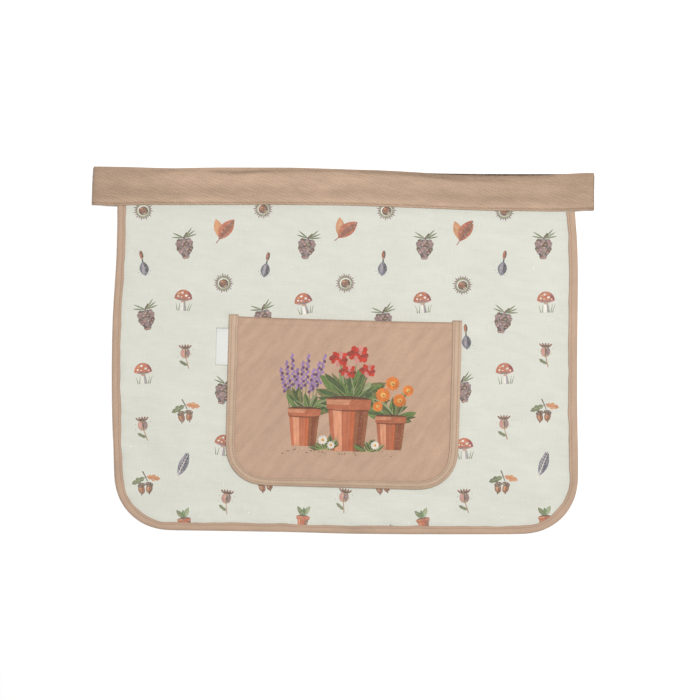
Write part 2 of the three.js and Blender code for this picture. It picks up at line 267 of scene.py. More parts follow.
def reckon(tree, operation, *values):
    made = addNode(tree, "ShaderNodeMath", dict(enumerate(values[:2])), operation=operation).outputs[0]
    return reckon(tree, operation, made, *values[2:]) if len(values) > 2 else made


def plus(tree, *values):
    return reckon(tree, "ADD", *values)


def times(tree, *values):
    return reckon(tree, "MULTIPLY", *values)


def newGroup(name, inputs, outputs):
    tree = bpy.data.node_groups.new(name, "ShaderNodeTree")
    for socket, start in inputs.items():
        made = tree.interface.new_socket(socket, in_out="INPUT", socket_type="NodeSocketFloat")
        made.default_value = start
    for socket, kind in outputs.items():
        tree.interface.new_socket(socket, in_out="OUTPUT", socket_type=kind)
    return tree, addNode(tree, "NodeGroupInput").outputs, addNode(tree, "NodeGroupOutput").inputs


def placeGroup(tree, group, values):
    return addNode(tree, "ShaderNodeGroup", values, node_tree=group).outputs


# Cloth coordinates in millimetres, turned by a lean in degrees
def clothPlace(tree, lean=0.0):
    place = addNode(tree, "ShaderNodeUVMap", uv_map="cloth").outputs["UV"]
    scaled = addNode(tree, "ShaderNodeVectorMath", {0: place, "Scale": 1 / mm}, operation="SCALE")
    turned = {"Vector": scaled.outputs[0], "Angle": reckon(tree, "RADIANS", lean)}
    return addNode(tree, "ShaderNodeVectorRotate", turned, rotation_type="Z_AXIS").outputs["Vector"]


# Noise in millimetres, drawn out along the yarn
def yarnNoise(tree, place, along, across, detail=2):
    sizes = {0: place, 1: (1 / along, 1 / across, 1)}
    drawn = addNode(tree, "ShaderNodeVectorMath", sizes, operation="MULTIPLY").outputs[0]
    values = {"Vector": drawn, "Scale": 1, "Detail": detail, "Roughness": 0.55}
    return reckon(tree, "SUBTRACT", addNode(tree, "ShaderNodeTexNoise", values).outputs["Fac"], 0.5)


def sineRib(tree, place, axis, pitch, wander, sway=1.6):
    across = addNode(tree, "ShaderNodeSeparateXYZ", {0: place}).outputs[axis]
    turns = plus(tree, reckon(tree, "DIVIDE", across, pitch), times(tree, wander, sway))
    return reckon(tree, "SINE", times(tree, turns, fullTurn))


# Twill: slanting ribs of floats that fade in and out, streaks along them, and thick and thin yarns
twill = {
    "floatLength": 1.3, "floatDepth": 0.5, "fibreDepth": 1.5, "fadeDepth": 4,  # all as shares of a rib
    # How long and wide the noise is, in millimetres
    "wander": (38, 9), "streaks": (26, 3.2), "fibres": (2.4, 1.1), "fade": (13, 7),
    "warp": (8, 1.5), "weft": (1.5, 8),
}


def makeTwill():
    inputs = {"Pitch": 2, "Lean": 20, "Contrast": 0.05, "Streaks": 0.05, "Grain": 0}
    outputs = {"Shade": "NodeSocketFloat", "Height": "NodeSocketFloat"}
    tree, given, out = newGroup("twillWeave", inputs, outputs)
    place = clothPlace(tree, given["Lean"])
    wander = yarnNoise(tree, place, *twill["wander"])
    rib = sineRib(tree, place, "Y", given["Pitch"], wander)
    floats = sineRib(tree, place, "X", times(tree, given["Pitch"], twill["floatLength"]), wander)
    fibres = times(tree, yarnNoise(tree, place, *twill["fibres"], detail=3), twill["fibreDepth"])
    height = plus(tree, rib, times(tree, rib, floats, twill["floatDepth"]), fibres)
    fade = plus(tree, times(tree, yarnNoise(tree, place, *twill["fade"]), twill["fadeDepth"]), 1)
    straight = clothPlace(tree)
    yarns = plus(tree, *(yarnNoise(tree, straight, *twill[key]) for key in ("warp", "weft")))
    streaks = times(tree, yarnNoise(tree, place, *twill["streaks"]), given["Streaks"])
    ribs = times(tree, height, fade, given["Contrast"])
    tree.links.new(plus(tree, ribs, streaks, 1, times(tree, yarns, given["Grain"])), out["Shade"])
    tree.links.new(height, out["Height"])
    return tree


# Plain weave: crossing threads with slubs both ways
plainWeave = {"wander": (30, 30), "warpSlubs": (22, 1.2), "weftSlubs": (1.4, 16), "slubDepth": 2}


def makePlainWeave():
    inputs = {"Thread": 0.9, "Lean": 0, "Contrast": 0.02, "Slubs": 0.06}
    outputs = {"Shade": "NodeSocketFloat", "Height": "NodeSocketFloat"}
    tree, given, out = newGroup("plainWeave", inputs, outputs)
    place = clothPlace(tree, given["Lean"])
    wander = yarnNoise(tree, place, *plainWeave["wander"])
    threads = times(tree, *(sineRib(tree, place, axis, given["Thread"], wander) for axis in "YX"))
    slubs = plus(tree, *(yarnNoise(tree, place, *plainWeave[key]) for key in ("warpSlubs", "weftSlubs")))
    tree.links.new(plus(tree, threads, times(tree, slubs, plainWeave["slubDepth"])), out["Height"])
    threadShade = times(tree, threads, given["Contrast"])
    tree.links.new(plus(tree, threadShade, times(tree, slubs, given["Slubs"]), 1), out["Shade"])
    return tree


# Uneven dye: soft patches, faint wavering bands and single darker yarns, drawn out along one slant
dyeing = {
    "patches": (70, 34), "streaks": (30, 9), "yarns": (22, 1.8), "bandPitch": 17, "bandWander": (26, 13),
}


def makeUnevenDye():
    inputs = {"Lean": 50, "Amount": 0.06, "Yarns": 0, "Bands": 0}
    tree, given, out = newGroup("unevenDye", inputs, {"Shade": "NodeSocketFloat"})
    place = clothPlace(tree, given["Lean"])
    patches, streaks, yarns, wander = (yarnNoise(tree, place, *dyeing[key])
                                       for key in ("patches", "streaks", "yarns", "bandWander"))
    bands = sineRib(tree, place, "Y", dyeing["bandPitch"], wander)
    shades = {"Amount": plus(tree, patches, streaks), "Bands": bands, "Yarns": yarns}
    shade = plus(tree, 1, *(times(tree, value, given[key]) for key, value in shades.items()))
    tree.links.new(shade, out["Shade"])
    return tree


# Painted shade and light from the fold attribute: creases, seams, edges and gaps are painted darker and
# ridges paler, and fibres stand up there, so it is rougher too
shadeNoiseAndRoughness = {"roughness": 0.88, "shadeMottle": (7, 3)}


def makePaintedShadeAndWearGroup():
    inputs = {"Darker": 0.12, "Rougher": 0.06}
    outputs = {"Shade": "NodeSocketFloat", "Roughness": "NodeSocketFloat"}
    tree, given, out = newGroup("paintedShadeAndWearGroup", inputs, outputs)
    fold = addNode(tree, "ShaderNodeAttribute", attribute_name="fold").outputs["Fac"]
    shadedAndWorn = times(tree, fold, plus(tree, yarnNoise(tree, clothPlace(tree), *shadeNoiseAndRoughness["shadeMottle"]), 1))
    tree.links.new(reckon(tree, "SUBTRACT", 1, times(tree, shadedAndWorn, given["Darker"])), out["Shade"])
    tree.links.new(plus(tree, shadeNoiseAndRoughness["roughness"], times(tree, shadedAndWorn, given["Rougher"])), out["Roughness"])
    return tree


# Printed ink: the colour painted on the mesh, with grainy pigment that thins on the threads
pigment = {"grains": (1.6, 1.3), "blots": (6, 5)}


def makePrintedInk():
    outputs = {"Ink": "NodeSocketColor", "Cover": "NodeSocketFloat"}
    tree, given, out = newGroup("printedInk", {"Grain": 0.5}, outputs)
    paint = addNode(tree, "ShaderNodeAttribute", attribute_name="ink").outputs
    place = clothPlace(tree)
    grains = yarnNoise(tree, place, *pigment["grains"], detail=4)
    uneven = plus(tree, grains, yarnNoise(tree, place, *pigment["blots"]))
    bare = reckon(tree, "ABSOLUTE", times(tree, uneven, given["Grain"]))
    tree.links.new(paint["Color"], out["Ink"])
    tree.links.new(times(tree, paint["Alpha"], reckon(tree, "SUBTRACT", 1, bare)), out["Cover"])
    return tree


weaves = {"twill": makeTwill(), "plain": makePlainWeave()}
unevenDye = makeUnevenDye()
paintedShadeAndWearGroup = makePaintedShadeAndWearGroup()
printedInk = makePrintedInk()
print("node groups made")


def linear(red, green, blue):
    shares = [value / 255 for value in (red, green, blue)]
    return [s / 12.92 if s <= 0.04045 else ((s + 0.055) / 1.055) ** 2.4 for s in shares]


def newMaterial(name, values):
    material = bpy.data.materials.new(name)
    material.use_nodes = True
    shader = material.node_tree.nodes["Principled BSDF"].inputs
    for socket, value in values.items():
        shader[socket].default_value = value
    return material, material.node_tree, shader


# Cloth finish: a dye colour times weave, uneven dye and painted shade, with print over it where there is
# any; the same marks make worn folds rougher
usualCloth = {"gloss": 0.12, "sheen": 0.2, "sheenSpread": 0.55, "weave": "twill", "threadHeight": 0.2}


def clothFinish(name, finish):
    finish = {**usualCloth, **finish}
    dye = linear(*finish["dye"])
    material, tree, shader = newMaterial(name, {
        "Specular IOR Level": finish["gloss"], "Sheen Weight": finish["sheen"],
        "Sheen Roughness": finish["sheenSpread"], "Sheen Tint": (*dye, 1),
    })
    weave = placeGroup(tree, weaves[finish["weave"]], finish["threads"])
    patches = placeGroup(tree, unevenDye, finish["patches"])
    shadeAndWear = placeGroup(tree, paintedShadeAndWearGroup, finish["shadeAndWear"])
    shade = times(tree, weave["Shade"], patches["Shade"], shadeAndWear["Shade"])

    def shaded(colour):
        values = {0: colour, "Scale": shade}
        return addNode(tree, "ShaderNodeVectorMath", values, operation="SCALE").outputs[0]

    base = shaded(dye)
    if "print" in finish:
        ink = placeGroup(tree, printedInk, finish["print"])
        printed = {"Factor": ink["Cover"], "A": base, "B": shaded(ink["Ink"])}
        base = addNode(tree, "ShaderNodeMix", printed, data_type="RGBA").outputs["Result"]
    height = finish["threadHeight"] * mm
    relief = {"Strength": finish["relief"], "Distance": height, "Height": weave["Height"]}
    tree.links.new(base, shader["Base Color"])
    tree.links.new(shadeAndWear["Roughness"], shader["Roughness"])
    tree.links.new(addNode(tree, "ShaderNodeBump", relief).outputs["Normal"], shader["Normal"])
    return material


def finishPiece(piece, material, node=None):
    piece.data.materials.append(material)
    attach(piece, "root")
    if node:
        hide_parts(node)


# Bound edges: the line of a binding's outer fold, then the tape that is folded round it
tapeForm = {
    "step": 2, "soft": 4, "levelSoft": 3, "puckerSize": 9,
    "waver": ((46, 1), (17, 0.5)),  # sizes and shares
    "cutBack": 0.15, "frontTuck": 0.35, "backTuck": 0.2, "foldRoom": 1.1, "innerShade": 0.6,
    "rowHalf": 0.9, "roll": 0.4, "backRoll": 0.2,
    # Shares of the width, from the outer fold to the inner edge
    "rollReach": (0.94, 1), "edgeReach": (0.88, 0.95), "puckerReach": (0.1, 0.5),
    "shares": [0, 0.012, 0.04, 0.09, 0.16, 0.23, 0.3, 0.37, 0.47, 0.57,
               0.64, 0.7, 0.76, 0.83, 0.89, 0.94, 0.97, 1],
}


def boundLine(name, centre, turn):
    level = levelling(turn)
    line = (reachOf(name, centre)[:, None] * ways) @ level
    own = (edgesOf(name)[0][:, :2] - centre) @ level
    ends = {side: own[own[:, 0] * side > 0, 1].max() for side in (-1, 1)}
    kept = [p for p in line if np.hypot(*p) > 1 and p[1] < ends[1 if p[0] > 0 else -1] - 1]
    kept.sort(key=lambda p: (math.atan2(p[1], p[0]) - math.pi / 2) % fullTurn)
    kept = [(kept[0][0], ends[-1]), *kept, (kept[-1][0], ends[1])]
    line = soften(evenly(np.array(kept), tapeForm["step"]), tapeForm["soft"])
    return evenly(line, tapeForm["step"]) @ level.T + centre


# Folded tape round an edge: rounded outer fold, sewn hollow along each stitch row and rolled inner edge,
# with painted shade
def foldedTape(name, node, line, tape):
    tree = treeOf(node)
    inner = inwards(line)
    along = lengthsAlong(line)
    still = np.zeros(len(along))
    (wide, much), (fine, less) = tapeForm["waver"]
    waver = much * ripple(along, still, wide, tape["seed"]) + less * ripple(along, still, fine, 3)
    widths = tape["width"] - readTable(tape["narrower"], along / along[-1]) + waver * tape["waver"]
    shade = readTable(tape["shades"], along / along[-1])
    middle = line + inner * widths[:, None] / 2
    levels = np.array([[heightAt(tree, x, y, below) for below in (True, False)] for x, y in middle])
    for column in levels.T:
        known = ~np.isnan(column)
        column[:] = np.interp(along, along[known], column[known])
    levels = soften(levels, tapeForm["levelSoft"])
    pucker = ripple(along, still, tapeForm["puckerSize"], tape["seed"] + 5) * tape["pucker"]
    draw = np.cos(fullTurn * along / tape["pitch"]) * tape["draw"]
    shares = np.array(tapeForm["shares"])
    puff = tape["puff"] * np.sin(math.pi * np.clip(shares / tape["rows"][-1], 0, 1))
    roll = tapeForm["roll"] * smoothStep(shares, *tapeForm["rollReach"])
    rolled = tape["edgeShade"] * smoothStep(shares, *tapeForm["edgeReach"])
    drawn = smoothStep(shares, *tapeForm["puckerReach"])
    rings, paintedShading, cloth = [], [], []
    for i, (low, high) in enumerate(levels):
        half = (high - low) / 2
        inset = shares * widths[i]
        swell = rounded(inset, tape["fold"])
        hollow = sum(bell(inset - row * widths[i], tapeForm["rowHalf"]) for row in tape["rows"])
        lift = puff + pucker[i] * drawn - hollow * (tape["sunk"] + draw[i]) - roll
        front = (half + lift) * swell
        back = (hollow * tape["sunk"] + tapeForm["backRoll"] * roll - half) * swell
        lining = half - tape["cloth"]
        edge, room = widths[i] - tapeForm["cutBack"], tapeForm["foldRoom"]
        section = [*zip(inset[::-1], back[::-1]), *zip(inset[1:], front[1:])]
        section += [(edge, lining - tapeForm["frontTuck"]), (room, lining)]
        section += [(room, -lining), (edge, tapeForm["backTuck"] - lining)]
        rings.append([(*(line[i] + inner[i] * d), (low + high) / 2 + up) for d, up in section])
        cloth.append([(along[i], v) for v in lengthsAlong(np.array(section))])
        # Painted shade: the inner edge, the stitch rows' hollows and the ends are darker, the faces inside
        # are dark, and the shades table darkens part of the tape's length
        dark = np.maximum(rolled, tape["rowShade"] * hollow) + shade[i]
        if i in (0, len(line) - 1):
            dark = np.maximum(dark, tape["endShade"])
        paintedShading.append([*dark[::-1], *dark[1:], *[tapeForm["innerShade"]] * 4])
    piece = ringPiece(name, rings, cloth, paintedShading)
    low, high = levels.T
    rows = []
    for row in tape["rows"]:
        spots = line + inner * row * widths[:, None]
        rise = tape["puff"] * math.sin(math.pi * row / tape["rows"][-1]) - tape["sunk"]
        rows.append(np.column_stack([spots, high + rise + pucker]))
        rows.append(np.column_stack([spots, low + tape["sunk"]]))
    return piece, rows


# Printing: brush shapes in millimetres, each one closed loop

def turnedFrom(x, y, lean, u, v):
    c, s = math.cos(lean), math.sin(lean)
    return x + u * c - v * s, y + u * s + v * c


def oval(x, y, wide, tall, turn=0, count=12):
    angles = [fullTurn * k / count for k in range(count)]
    lean = math.radians(turn)
    return [turnedFrom(x, y, lean, wide / 2 * math.cos(a), tall / 2 * math.sin(a)) for a in angles]


# Pointed leaf from its stalk, with lobes along both edges if any are asked for
def leaf(x, y, length, width, turn, curl=0, lobes=0, count=6):
    steps = 4 * lobes if lobes else count
    edges = {1: [], -1: []}
    for t in (k / steps for k in range(steps + 1)):
        half = width / 2 * math.sin(math.pi * t) ** 0.8
        if lobes:
            half *= 0.62 + 0.38 * abs(math.sin(math.pi * lobes * t))
        for side in edges:
            across = curl * length * t * t + side * half
            edges[side].append(turnedFrom(x, y, math.radians(turn), length * t, across))
    return edges[1] + edges[-1][-2:0:-1]


# Brush line that thins from its start to its end
def brush(path, start, end):
    line = np.array(path, float)
    aside = inwards(line) * np.linspace(start, end, len(line))[:, None] / 2
    return [tuple(p) for p in (*(line + aside), *(line - aside)[::-1])]


def arc(x, y, wide, tall, start, end, count=7):
    angles = [math.radians(start + (end - start) * k / (count - 1)) for k in range(count)]
    return [(x + wide / 2 * math.cos(a), y + tall / 2 * math.sin(a)) for a in angles]


inks = {
    "charcoal": (70, 64, 74), "slate": (108, 106, 122), "lilacGrey": (160, 148, 158), "bark": (98, 70, 58),
    "mauve": (140, 112, 112), "chestnut": (140, 86, 60), "rust": (188, 98, 64), "amber": (208, 142, 94),
    "tan": (188, 150, 122), "cream": (238, 231, 220), "berry": (152, 54, 54), "rose": (208, 144, 136),
    "moss": (112, 118, 80), "sage": (148, 158, 120), "leafGreen": (98, 130, 76), "deepGreen": (62, 92, 62),
    "limeGreen": (156, 172, 104), "scarlet": (198, 56, 48), "orange": (224, 126, 56), "soil": (88, 62, 52),
    "gold": (234, 182, 100), "lilac": (152, 124, 174), "plum": (100, 72, 116), "white": (250, 250, 246),
    "terracotta": (178, 102, 74), "clayDark": (128, 70, 54), "clayLight": (212, 146, 114),
}


# Motifs: each gives its strokes in turn, an ink and a loop, and later strokes lie over earlier ones

def acornSprig():
    yield "moss", leaf(-1, 8, 19, 9, 205, lobes=3)
    yield "sage", brush([(-1, 8), (-9, 4), (-16, 1)], 0.9, 0.3)
    yield "amber", leaf(1, 9, 18, 9, -12, lobes=3)
    yield "rust", brush([(1, 9), (9, 7), (16, 6)], 0.9, 0.3)
    yield "bark", brush([(-4, 16), (-1, 10), (2, 3)], 1.6, 1.1)
    for x, y, lean in ((4, -6, -12), (-6, -7, 14)):
        yield "chestnut", oval(x, y, 8.5, 13, lean)
        yield "amber", oval(x - 1.4, y + 0.4, 2.6, 8, lean)
        yield "bark", oval(x, y - 6.8, 1.6, 2.4, lean)
        yield "bark", oval(x, y + 5, 10.5, 6, lean)
        for u, v in ((-3, 0.6), (0, 1.4), (3, 0.4), (-1, -1.2)):
            yield "tan", oval(x + u, y + 5 + v, 1.8, 1.2)


def toadstool():
    for x, lean in ((-7, -1), (-5, 0.4), (6, 1), (8, 1.6), (4, -0.4)):
        yield "moss", brush([(x, -14), (x + lean, -9), (x + 2.4 * lean, -4)], 1.2, 0.3)
    yield "cream", [(-3, -14), (3.4, -14), (2.2, 2), (-2, 2)]
    yield "lilacGrey", [(1, -14), (3.4, -14), (2.2, 2), (0.8, 2)]
    yield "tan", oval(0.2, -2.4, 6.4, 2.6)
    yield "rose", oval(0, 1, 21, 5)
    yield "mauve", oval(0, 0, 14, 2.4)
    yield "rust", arc(0, 1, 23, 24, 0, 180, 11)
    yield "berry", arc(0, 1, 23, 24, 0, 62, 6) + [(7, 1.6)]
    yield "amber", oval(-5, 8, 5, 2.4, 38)
    for x, y, size in ((-6.5, 4.2, 3), (-1.5, 9, 3.4), (3.6, 5.4, 3.8), (7.4, 3, 2.2), (-2.4, 3.4, 2)):
        yield "cream", oval(x, y, size, size * 0.8, 10, 9)


def pineCone():
    for turn in (150, 170, 12, 30, 48):
        yield "moss", leaf(1, 11, 17, 1.9, turn, count=5)
    yield "bark", brush([(0, 9), (1, 13), (5, 18)], 2.4, 1.6)
    top, tall, half = 11, 27, 10.5

    def wideAt(share):
        return half * math.sin(math.pi * share ** 0.6) ** 0.75

    side = [(wideAt(share), top - tall * share) for share in np.linspace(0.03, 0.97, 12)]
    yield "charcoal", [(-x, y) for x, y in side] + side[::-1]
    for row in range(7):
        share = 0.04 + 0.125 * row
        y = top - tall * share
        scales = 3 + row % 2 if row < 5 else 2 - row % 2
        for k in range(scales):
            x = 0.98 * wideAt(share + 0.09) * ((2 * k + 1) / scales - 1)
            yield "mauve" if (k + row) % 3 else "bark", leaf(x, y + 1, 6.4, 5.8, -90 + 2.6 * x, count=5)
            yield "tan" if (k + row) % 2 else "rose", oval(x * 1.03, y - 3.4, 3.4, 1.6, 3 * x, 8)


def feather():
    yield "slate", leaf(-9, -13, 33, 12, 57, 0.06)
    yield "lilacGrey", leaf(-9, -13, 33, 6, 62, 0.06)
    for k in range(6):
        x, y = turnedFrom(-9, -13, math.radians(60), 8 + 4 * k, 0)
        yield "charcoal", leaf(x, y, 6.2 - 0.5 * k, 2.1, 10, 0.15, count=4)
        yield "charcoal", leaf(x, y, 4.4 - 0.3 * k, 1.8, 118, -0.15, count=4)
    yield "cream", brush([(-13, -17), (-9, -12), (0, 3), (7, 14)], 1.1, 0.3)


def seedHead():
    yield "tan", brush([(4, -16), (2, -8), (0, 0)], 1.5, 1.2)
    yield "moss", leaf(3, -12, 13, 5, 155, -0.1, lobes=2)
    yield "tan", oval(0, 4, 13, 14)
    yield "rose", leaf(-3, -2, 12.5, 4, 92)
    yield "mauve", leaf(3, -2, 12.5, 4.4, 88)
    yield "bark", leaf(0.4, -2.5, 13, 1.6, 90)
    yield "bark", oval(0, 11, 13, 3.6)
    for x in (-5, -2.5, 0, 2.5, 5):
        yield "chestnut", leaf(x, 11, 4.6, 2.4, 90 - 9 * x, count=4)
    for x, y in ((-9, 6), (8, 2), (10, 8), (-10, -1)):
        yield "bark", oval(x, y, 0.9, 0.9, 0, 6)


def pottedSprout():
    yield "moss", leaf(0, 1, 15, 6, 118, 0.1)
    yield "sage", leaf(0, 1, 16, 6.4, 66, -0.1)
    yield "leafGreen", leaf(0.4, 2, 11, 4, 92)
    yield "moss", brush([(0, 1), (2, 8), (5, 14)], 0.7, 0.3)
    yield "rust", [(-7.4, -1), (7.4, -1), (5, -15), (-5, -15)]
    yield "chestnut", [(2.4, -1), (7.4, -1), (5, -15), (1.8, -15)]
    yield "amber", [(-5.6, -2.4), (-3.4, -2.4), (-2.8, -13.4), (-4, -13.4)]
    yield "soil", oval(0, 1.6, 15, 3)
    yield "rust", [(-8.8, 1.6), (8.8, 1.6), (8.2, -2.6), (-8.2, -2.6)]
    yield "amber", [(-8, 1), (-1, 1), (-1.2, -0.4), (-7.8, -0.4)]


def tulipBulb():
    for x in (-3, -1.4, 0.2, 1.8, 3.4):
        yield "bark", brush([(x, -10), (1.6 * x, -14), (2.4 * x, -16)], 0.8, 0.2)
    yield "amber", oval(0, -3, 18, 16)
    yield "amber", leaf(0, -5, 17, 9, 90, count=8)
    for x in (-4, 4.4):
        yield "rust", leaf(x, -10.5, 17, 3.4, 90 - 6 * x, 0.05 * x)
    for x in (-2, 1, 6):
        yield "chestnut", leaf(x, -10.5, 16, 1.7, 90 - 4 * x, 0.02 * x, count=5)
    yield "sage", leaf(0, 8, 9, 3.4, 96)
    yield "moss", leaf(0.5, 8, 8, 2.4, 70)


def beechLeaf():
    yield "amber", leaf(-6, -13, 27, 12, 96, 0.05)
    yield "rust", leaf(-9, -13, 32, 16, 52, -0.08, count=9)
    yield "chestnut", leaf(-9, -13, 32, 7, 46, -0.02, count=7)
    yield "berry", brush([(-13, -17), (-8, -12), (2, -2), (9, 10)], 1.2, 0.4)
    for k in range(4):
        x, y = -5 + 3.6 * k, -9 + 4.4 * k
        yield "berry", brush([(x, y), (x - 1.6, y + 4), (x - 2, y + 7 - k)], 0.6, 0.2)
        yield "berry", brush([(x, y), (x + 4, y + 1.6), (x + 8.6 - k, y + 1.9)], 0.6, 0.2)


def chestnutHusk():
    sizes = [9, 13.5, 9, 12] * 11
    angles = [fullTurn * k / len(sizes) for k in range(len(sizes))]
    yield "mauve", [(size * math.cos(a), size * math.sin(a)) for size, a in zip(sizes, angles)]
    yield "sage", oval(0, 0, 17, 17, count=16)
    yield "cream", oval(0, 0, 14.5, 13.5, 20)
    yield "bark", oval(0.4, -0.4, 12.6, 11.4, 20)
    yield "chestnut", oval(-1, 0.6, 9, 7.6, 20)
    yield "amber", oval(-2.2, 2, 3.6, 1.8, 30)
    yield "tan", oval(3, -3.4, 4.4, 2.4, 35)


def handTrowel():
    yield "slate", leaf(0, 3, 19, 12, -90, count=8)
    yield "lilacGrey", leaf(-1, 1, 15, 4, -92)
    yield "charcoal", leaf(2.2, 1.5, 14, 3.6, -86)
    yield "charcoal", brush([(0, 2), (0, 4.5), (0, 7)], 2, 1.6)
    yield "bark", oval(0, 11.5, 5, 11)
    yield "rust", oval(-0.8, 11.8, 2.2, 8.6)
    yield "tan", oval(0, 7, 4.4, 1.4)
    for x, y in ((-5, -13), (4, -14), (7, -11), (-8, -10)):
        yield "soil", oval(x, y, 1.2, 0.9, 0, 6)


motifs = [
    acornSprig, pineCone, beechLeaf, feather, toadstool,
    chestnutHusk, pottedSprout, seedHead, handTrowel, tulipBulb,
]


def flowerPot(x, foot, wide, tall):
    def at(across, up):
        return x + wide / 2 * across, foot + tall + tall * up

    tones = ["terracotta", "clayLight", "clayLight", "terracotta", "terracotta"]
    tones += ["rust", "chestnut", "clayDark", "chestnut"]
    for k, tone in enumerate(tones):
        a, b = 2 * k / len(tones) - 1, min(2 * (k + 1.1) / len(tones) - 1, 1)
        yield tone, [at(0.92 * a, 0), at(0.92 * b, 0), at(0.72 * b, -1), at(0.72 * a, -1)]
    yield "soil", oval(*at(0, 0.12), wide * 0.98, tall * 0.14, count=16)
    yield "terracotta", [at(-1, 0.12), at(1, 0.12), at(0.96, -0.1), at(-0.96, -0.1)]
    yield "clayLight", [at(-1, 0.1), at(0.1, 0.1), at(0, 0), at(-0.97, 0)]
    yield "clayDark", brush([at(-0.9, -0.11), at(0, -0.13), at(0.9, -0.11)], 1.2, 1.6)


def leafSpray(chance, x, y, count, spread, size, greens):
    for k in range(count):
        turn = 90 + spread * (2 * (k + 0.5) / count - 1) + chance.uniform(-9, 9)
        length = size * chance.uniform(0.7, 1.15)
        green = greens[k % len(greens)]
        start = x + chance.uniform(-6, 6)
        yield green, leaf(start, y, length, length * 0.34, turn, chance.uniform(-0.12, 0.12), count=8)
        shadow = leaf(start, y, length * 0.96, length * 0.17, turn - 5, count=7)
        yield "deepGreen" if green != "deepGreen" else "moss", shadow
        middle, end = (turnedFrom(start, y, math.radians(turn), share * length, 0) for share in (0.4, 0.8))
        yield "limeGreen", brush([(start, y), middle, end], 1, 0.3)


def petalHead(x, y, size, petals, colour, centre):
    for k in range(petals):
        yield colour, leaf(x, y, size / 2, size * 0.3, 360 * k / petals, count=5)
    yield centre, oval(x, y, size * 0.34, size * 0.3)
    yield "soil", oval(x + size * 0.05, y - size * 0.04, size * 0.12, size * 0.1, 0, 8)


def clusterHead(chance, x, y, size, colours, count=19):
    for k in range(count):
        away = size / 2 * math.sqrt(k / count)
        spot = (x + away * math.cos(2.4 * k), y + 0.85 * away * math.sin(2.4 * k))
        yield colours[k % len(colours)], oval(*spot, size * 0.3, size * 0.25, chance.uniform(0, 90), 8)


def flowerSpike(x, y, height, lean, count=12):
    yield "leafGreen", brush([(x, y), (x + lean * 0.4, y + height / 2), (x + lean, y + height)], 1.3, 0.5)
    for k in range(count):
        t = 0.45 + 0.55 * k / count
        side = 1 if k % 2 else -1
        spot = (x + lean * t + side * 1.8 * (1.3 - t), y + height * t)
        yield "lilac" if k % 3 else "plum", oval(*spot, 3.6, 4.4, side * 20, 8)


# Picture on the pocket: three clay pots in a row with flowers, leaves and crumbs of soil
def pottedFlowers(picture):
    chance = random.Random(picture["seed"])
    greens = ["deepGreen", "leafGreen", "moss", "leafGreen", "sage"]
    for k in range(9):
        yield from flowerSpike(-65.2 + 3.52 * k, -16, 52 + 9 * (k % 3), (k - 4) * 3.2)
    for spray in ((-48, -16, 11, 88, 30), (6, -4, 15, 100, 46), (56, -22, 12, 96, 32)):
        yield from leafSpray(chance, *spray, greens)
    for x, y in ((-6, 46), (14, 52), (2, 32), (24, 36)):
        yield "leafGreen", brush([(6, -2), (x * 0.8, y * 0.5), (x, y)], 1.6, 0.8)
    for head in ((-8, 48, 20), (15, 54, 23), (3, 33, 18), (27, 35, 17)):
        yield from clusterHead(chance, *head, ["scarlet", "berry", "scarlet", "rose"])
    for head in ((46, 6, 19), (66, 0, 17), (57, 20, 18), (76, 12, 14), (40, -8, 13)):
        yield from petalHead(*head, 13, "orange", "gold")
    for pot in ((-48, -58, 40, 40), (56, -60, 38, 36), (5, -63, 54, 56)):
        yield from flowerPot(*pot)
    yield from leafSpray(chance, -22, -62, 7, 80, 17, ["moss", "sage", "leafGreen"])
    yield from leafSpray(chance, 34, -63, 7, 80, 16, ["leafGreen", "sage", "deepGreen"])
    for head in ((-25, -50, 12), (-15, -56, 10), (38, -55, 11)):
        yield from petalHead(*head, 10, "cream", "gold")
    for _ in range(46):
        spot = (chance.gauss(0, 40), -64 + chance.uniform(-4, 3))
        ink = chance.choice(["soil", "moss", "tan", "clayDark"])
        yield ink, oval(*spot, chance.uniform(1, 2.8), 1.2, 0, 6)


# How any sheet is meshed and printed
sheetForm = {
    "stray": 0.16, "rowShare": 0.866, "rimRoom": 0.7, "bulge": 0.35, "edgeRows": [0.25, 0.5, 0.75],
    "inkStrength": (0.88, 1.1), "middleWash": 1.16, "edgeWash": 0.94,
    "blots": ((4.5, 3, 0.22), (1.8, 8, 0.14)),  # size, layer and strength
}


# Area inside a loop, above zero if the loop runs anticlockwise
def roomIn(loop):
    ahead = np.roll(loop, -1, axis=0)
    return (loop[:, 0] * ahead[:, 1] - loop[:, 1] * ahead[:, 0]).sum() / 2


def holds(loop, x, y):
    ahead = np.roll(loop, -1, axis=0)
    across = (loop[:, 1] > y) != (ahead[:, 1] > y)
    start, end = loop[across], ahead[across]
    at = start[:, 0] + (y - start[:, 1]) / (end[:, 1] - start[:, 1]) * (end[:, 0] - start[:, 0])
    return (at > x).sum() % 2 == 1


# Strokes set down on the cloth, each with its own strength of ink
def setDown(strokes, spot, turn, size, chance):
    level = levelling(math.radians(turn))
    placed = []
    for ink, loop in strokes:
        loop = np.array(loop) * size @ level.T + np.array(spot)
        loop = loop if roomIn(loop) > 0 else loop[::-1]
        colour = np.array(linear(*inks[ink])) * chance.uniform(*sheetForm["inkStrength"])
        placed.append({"colour": colour, "loop": loop})
    return placed


# How deep spots lie inside an outline that is known by its reach from a centre
def depthIn(spots, centre, reach):
    away = spots - centre
    angles = np.arctan2(away[:, 1], away[:, 0]) % fullTurn
    return np.interp(angles, directions, reach, period=fullTurn) - np.hypot(*away.T)


def trimmed(placed, centre, reach, margin, least=0.3):
    for stroke in placed:
        away = stroke["loop"] - centre
        far = np.maximum(np.hypot(*away.T), 1e-6)
        most = far + depthIn(stroke["loop"], centre, reach) - margin
        stroke["loop"] = centre + away * np.minimum(1, most / far)[:, None]
    return [stroke for stroke in placed if roomIn(stroke["loop"]) > least]


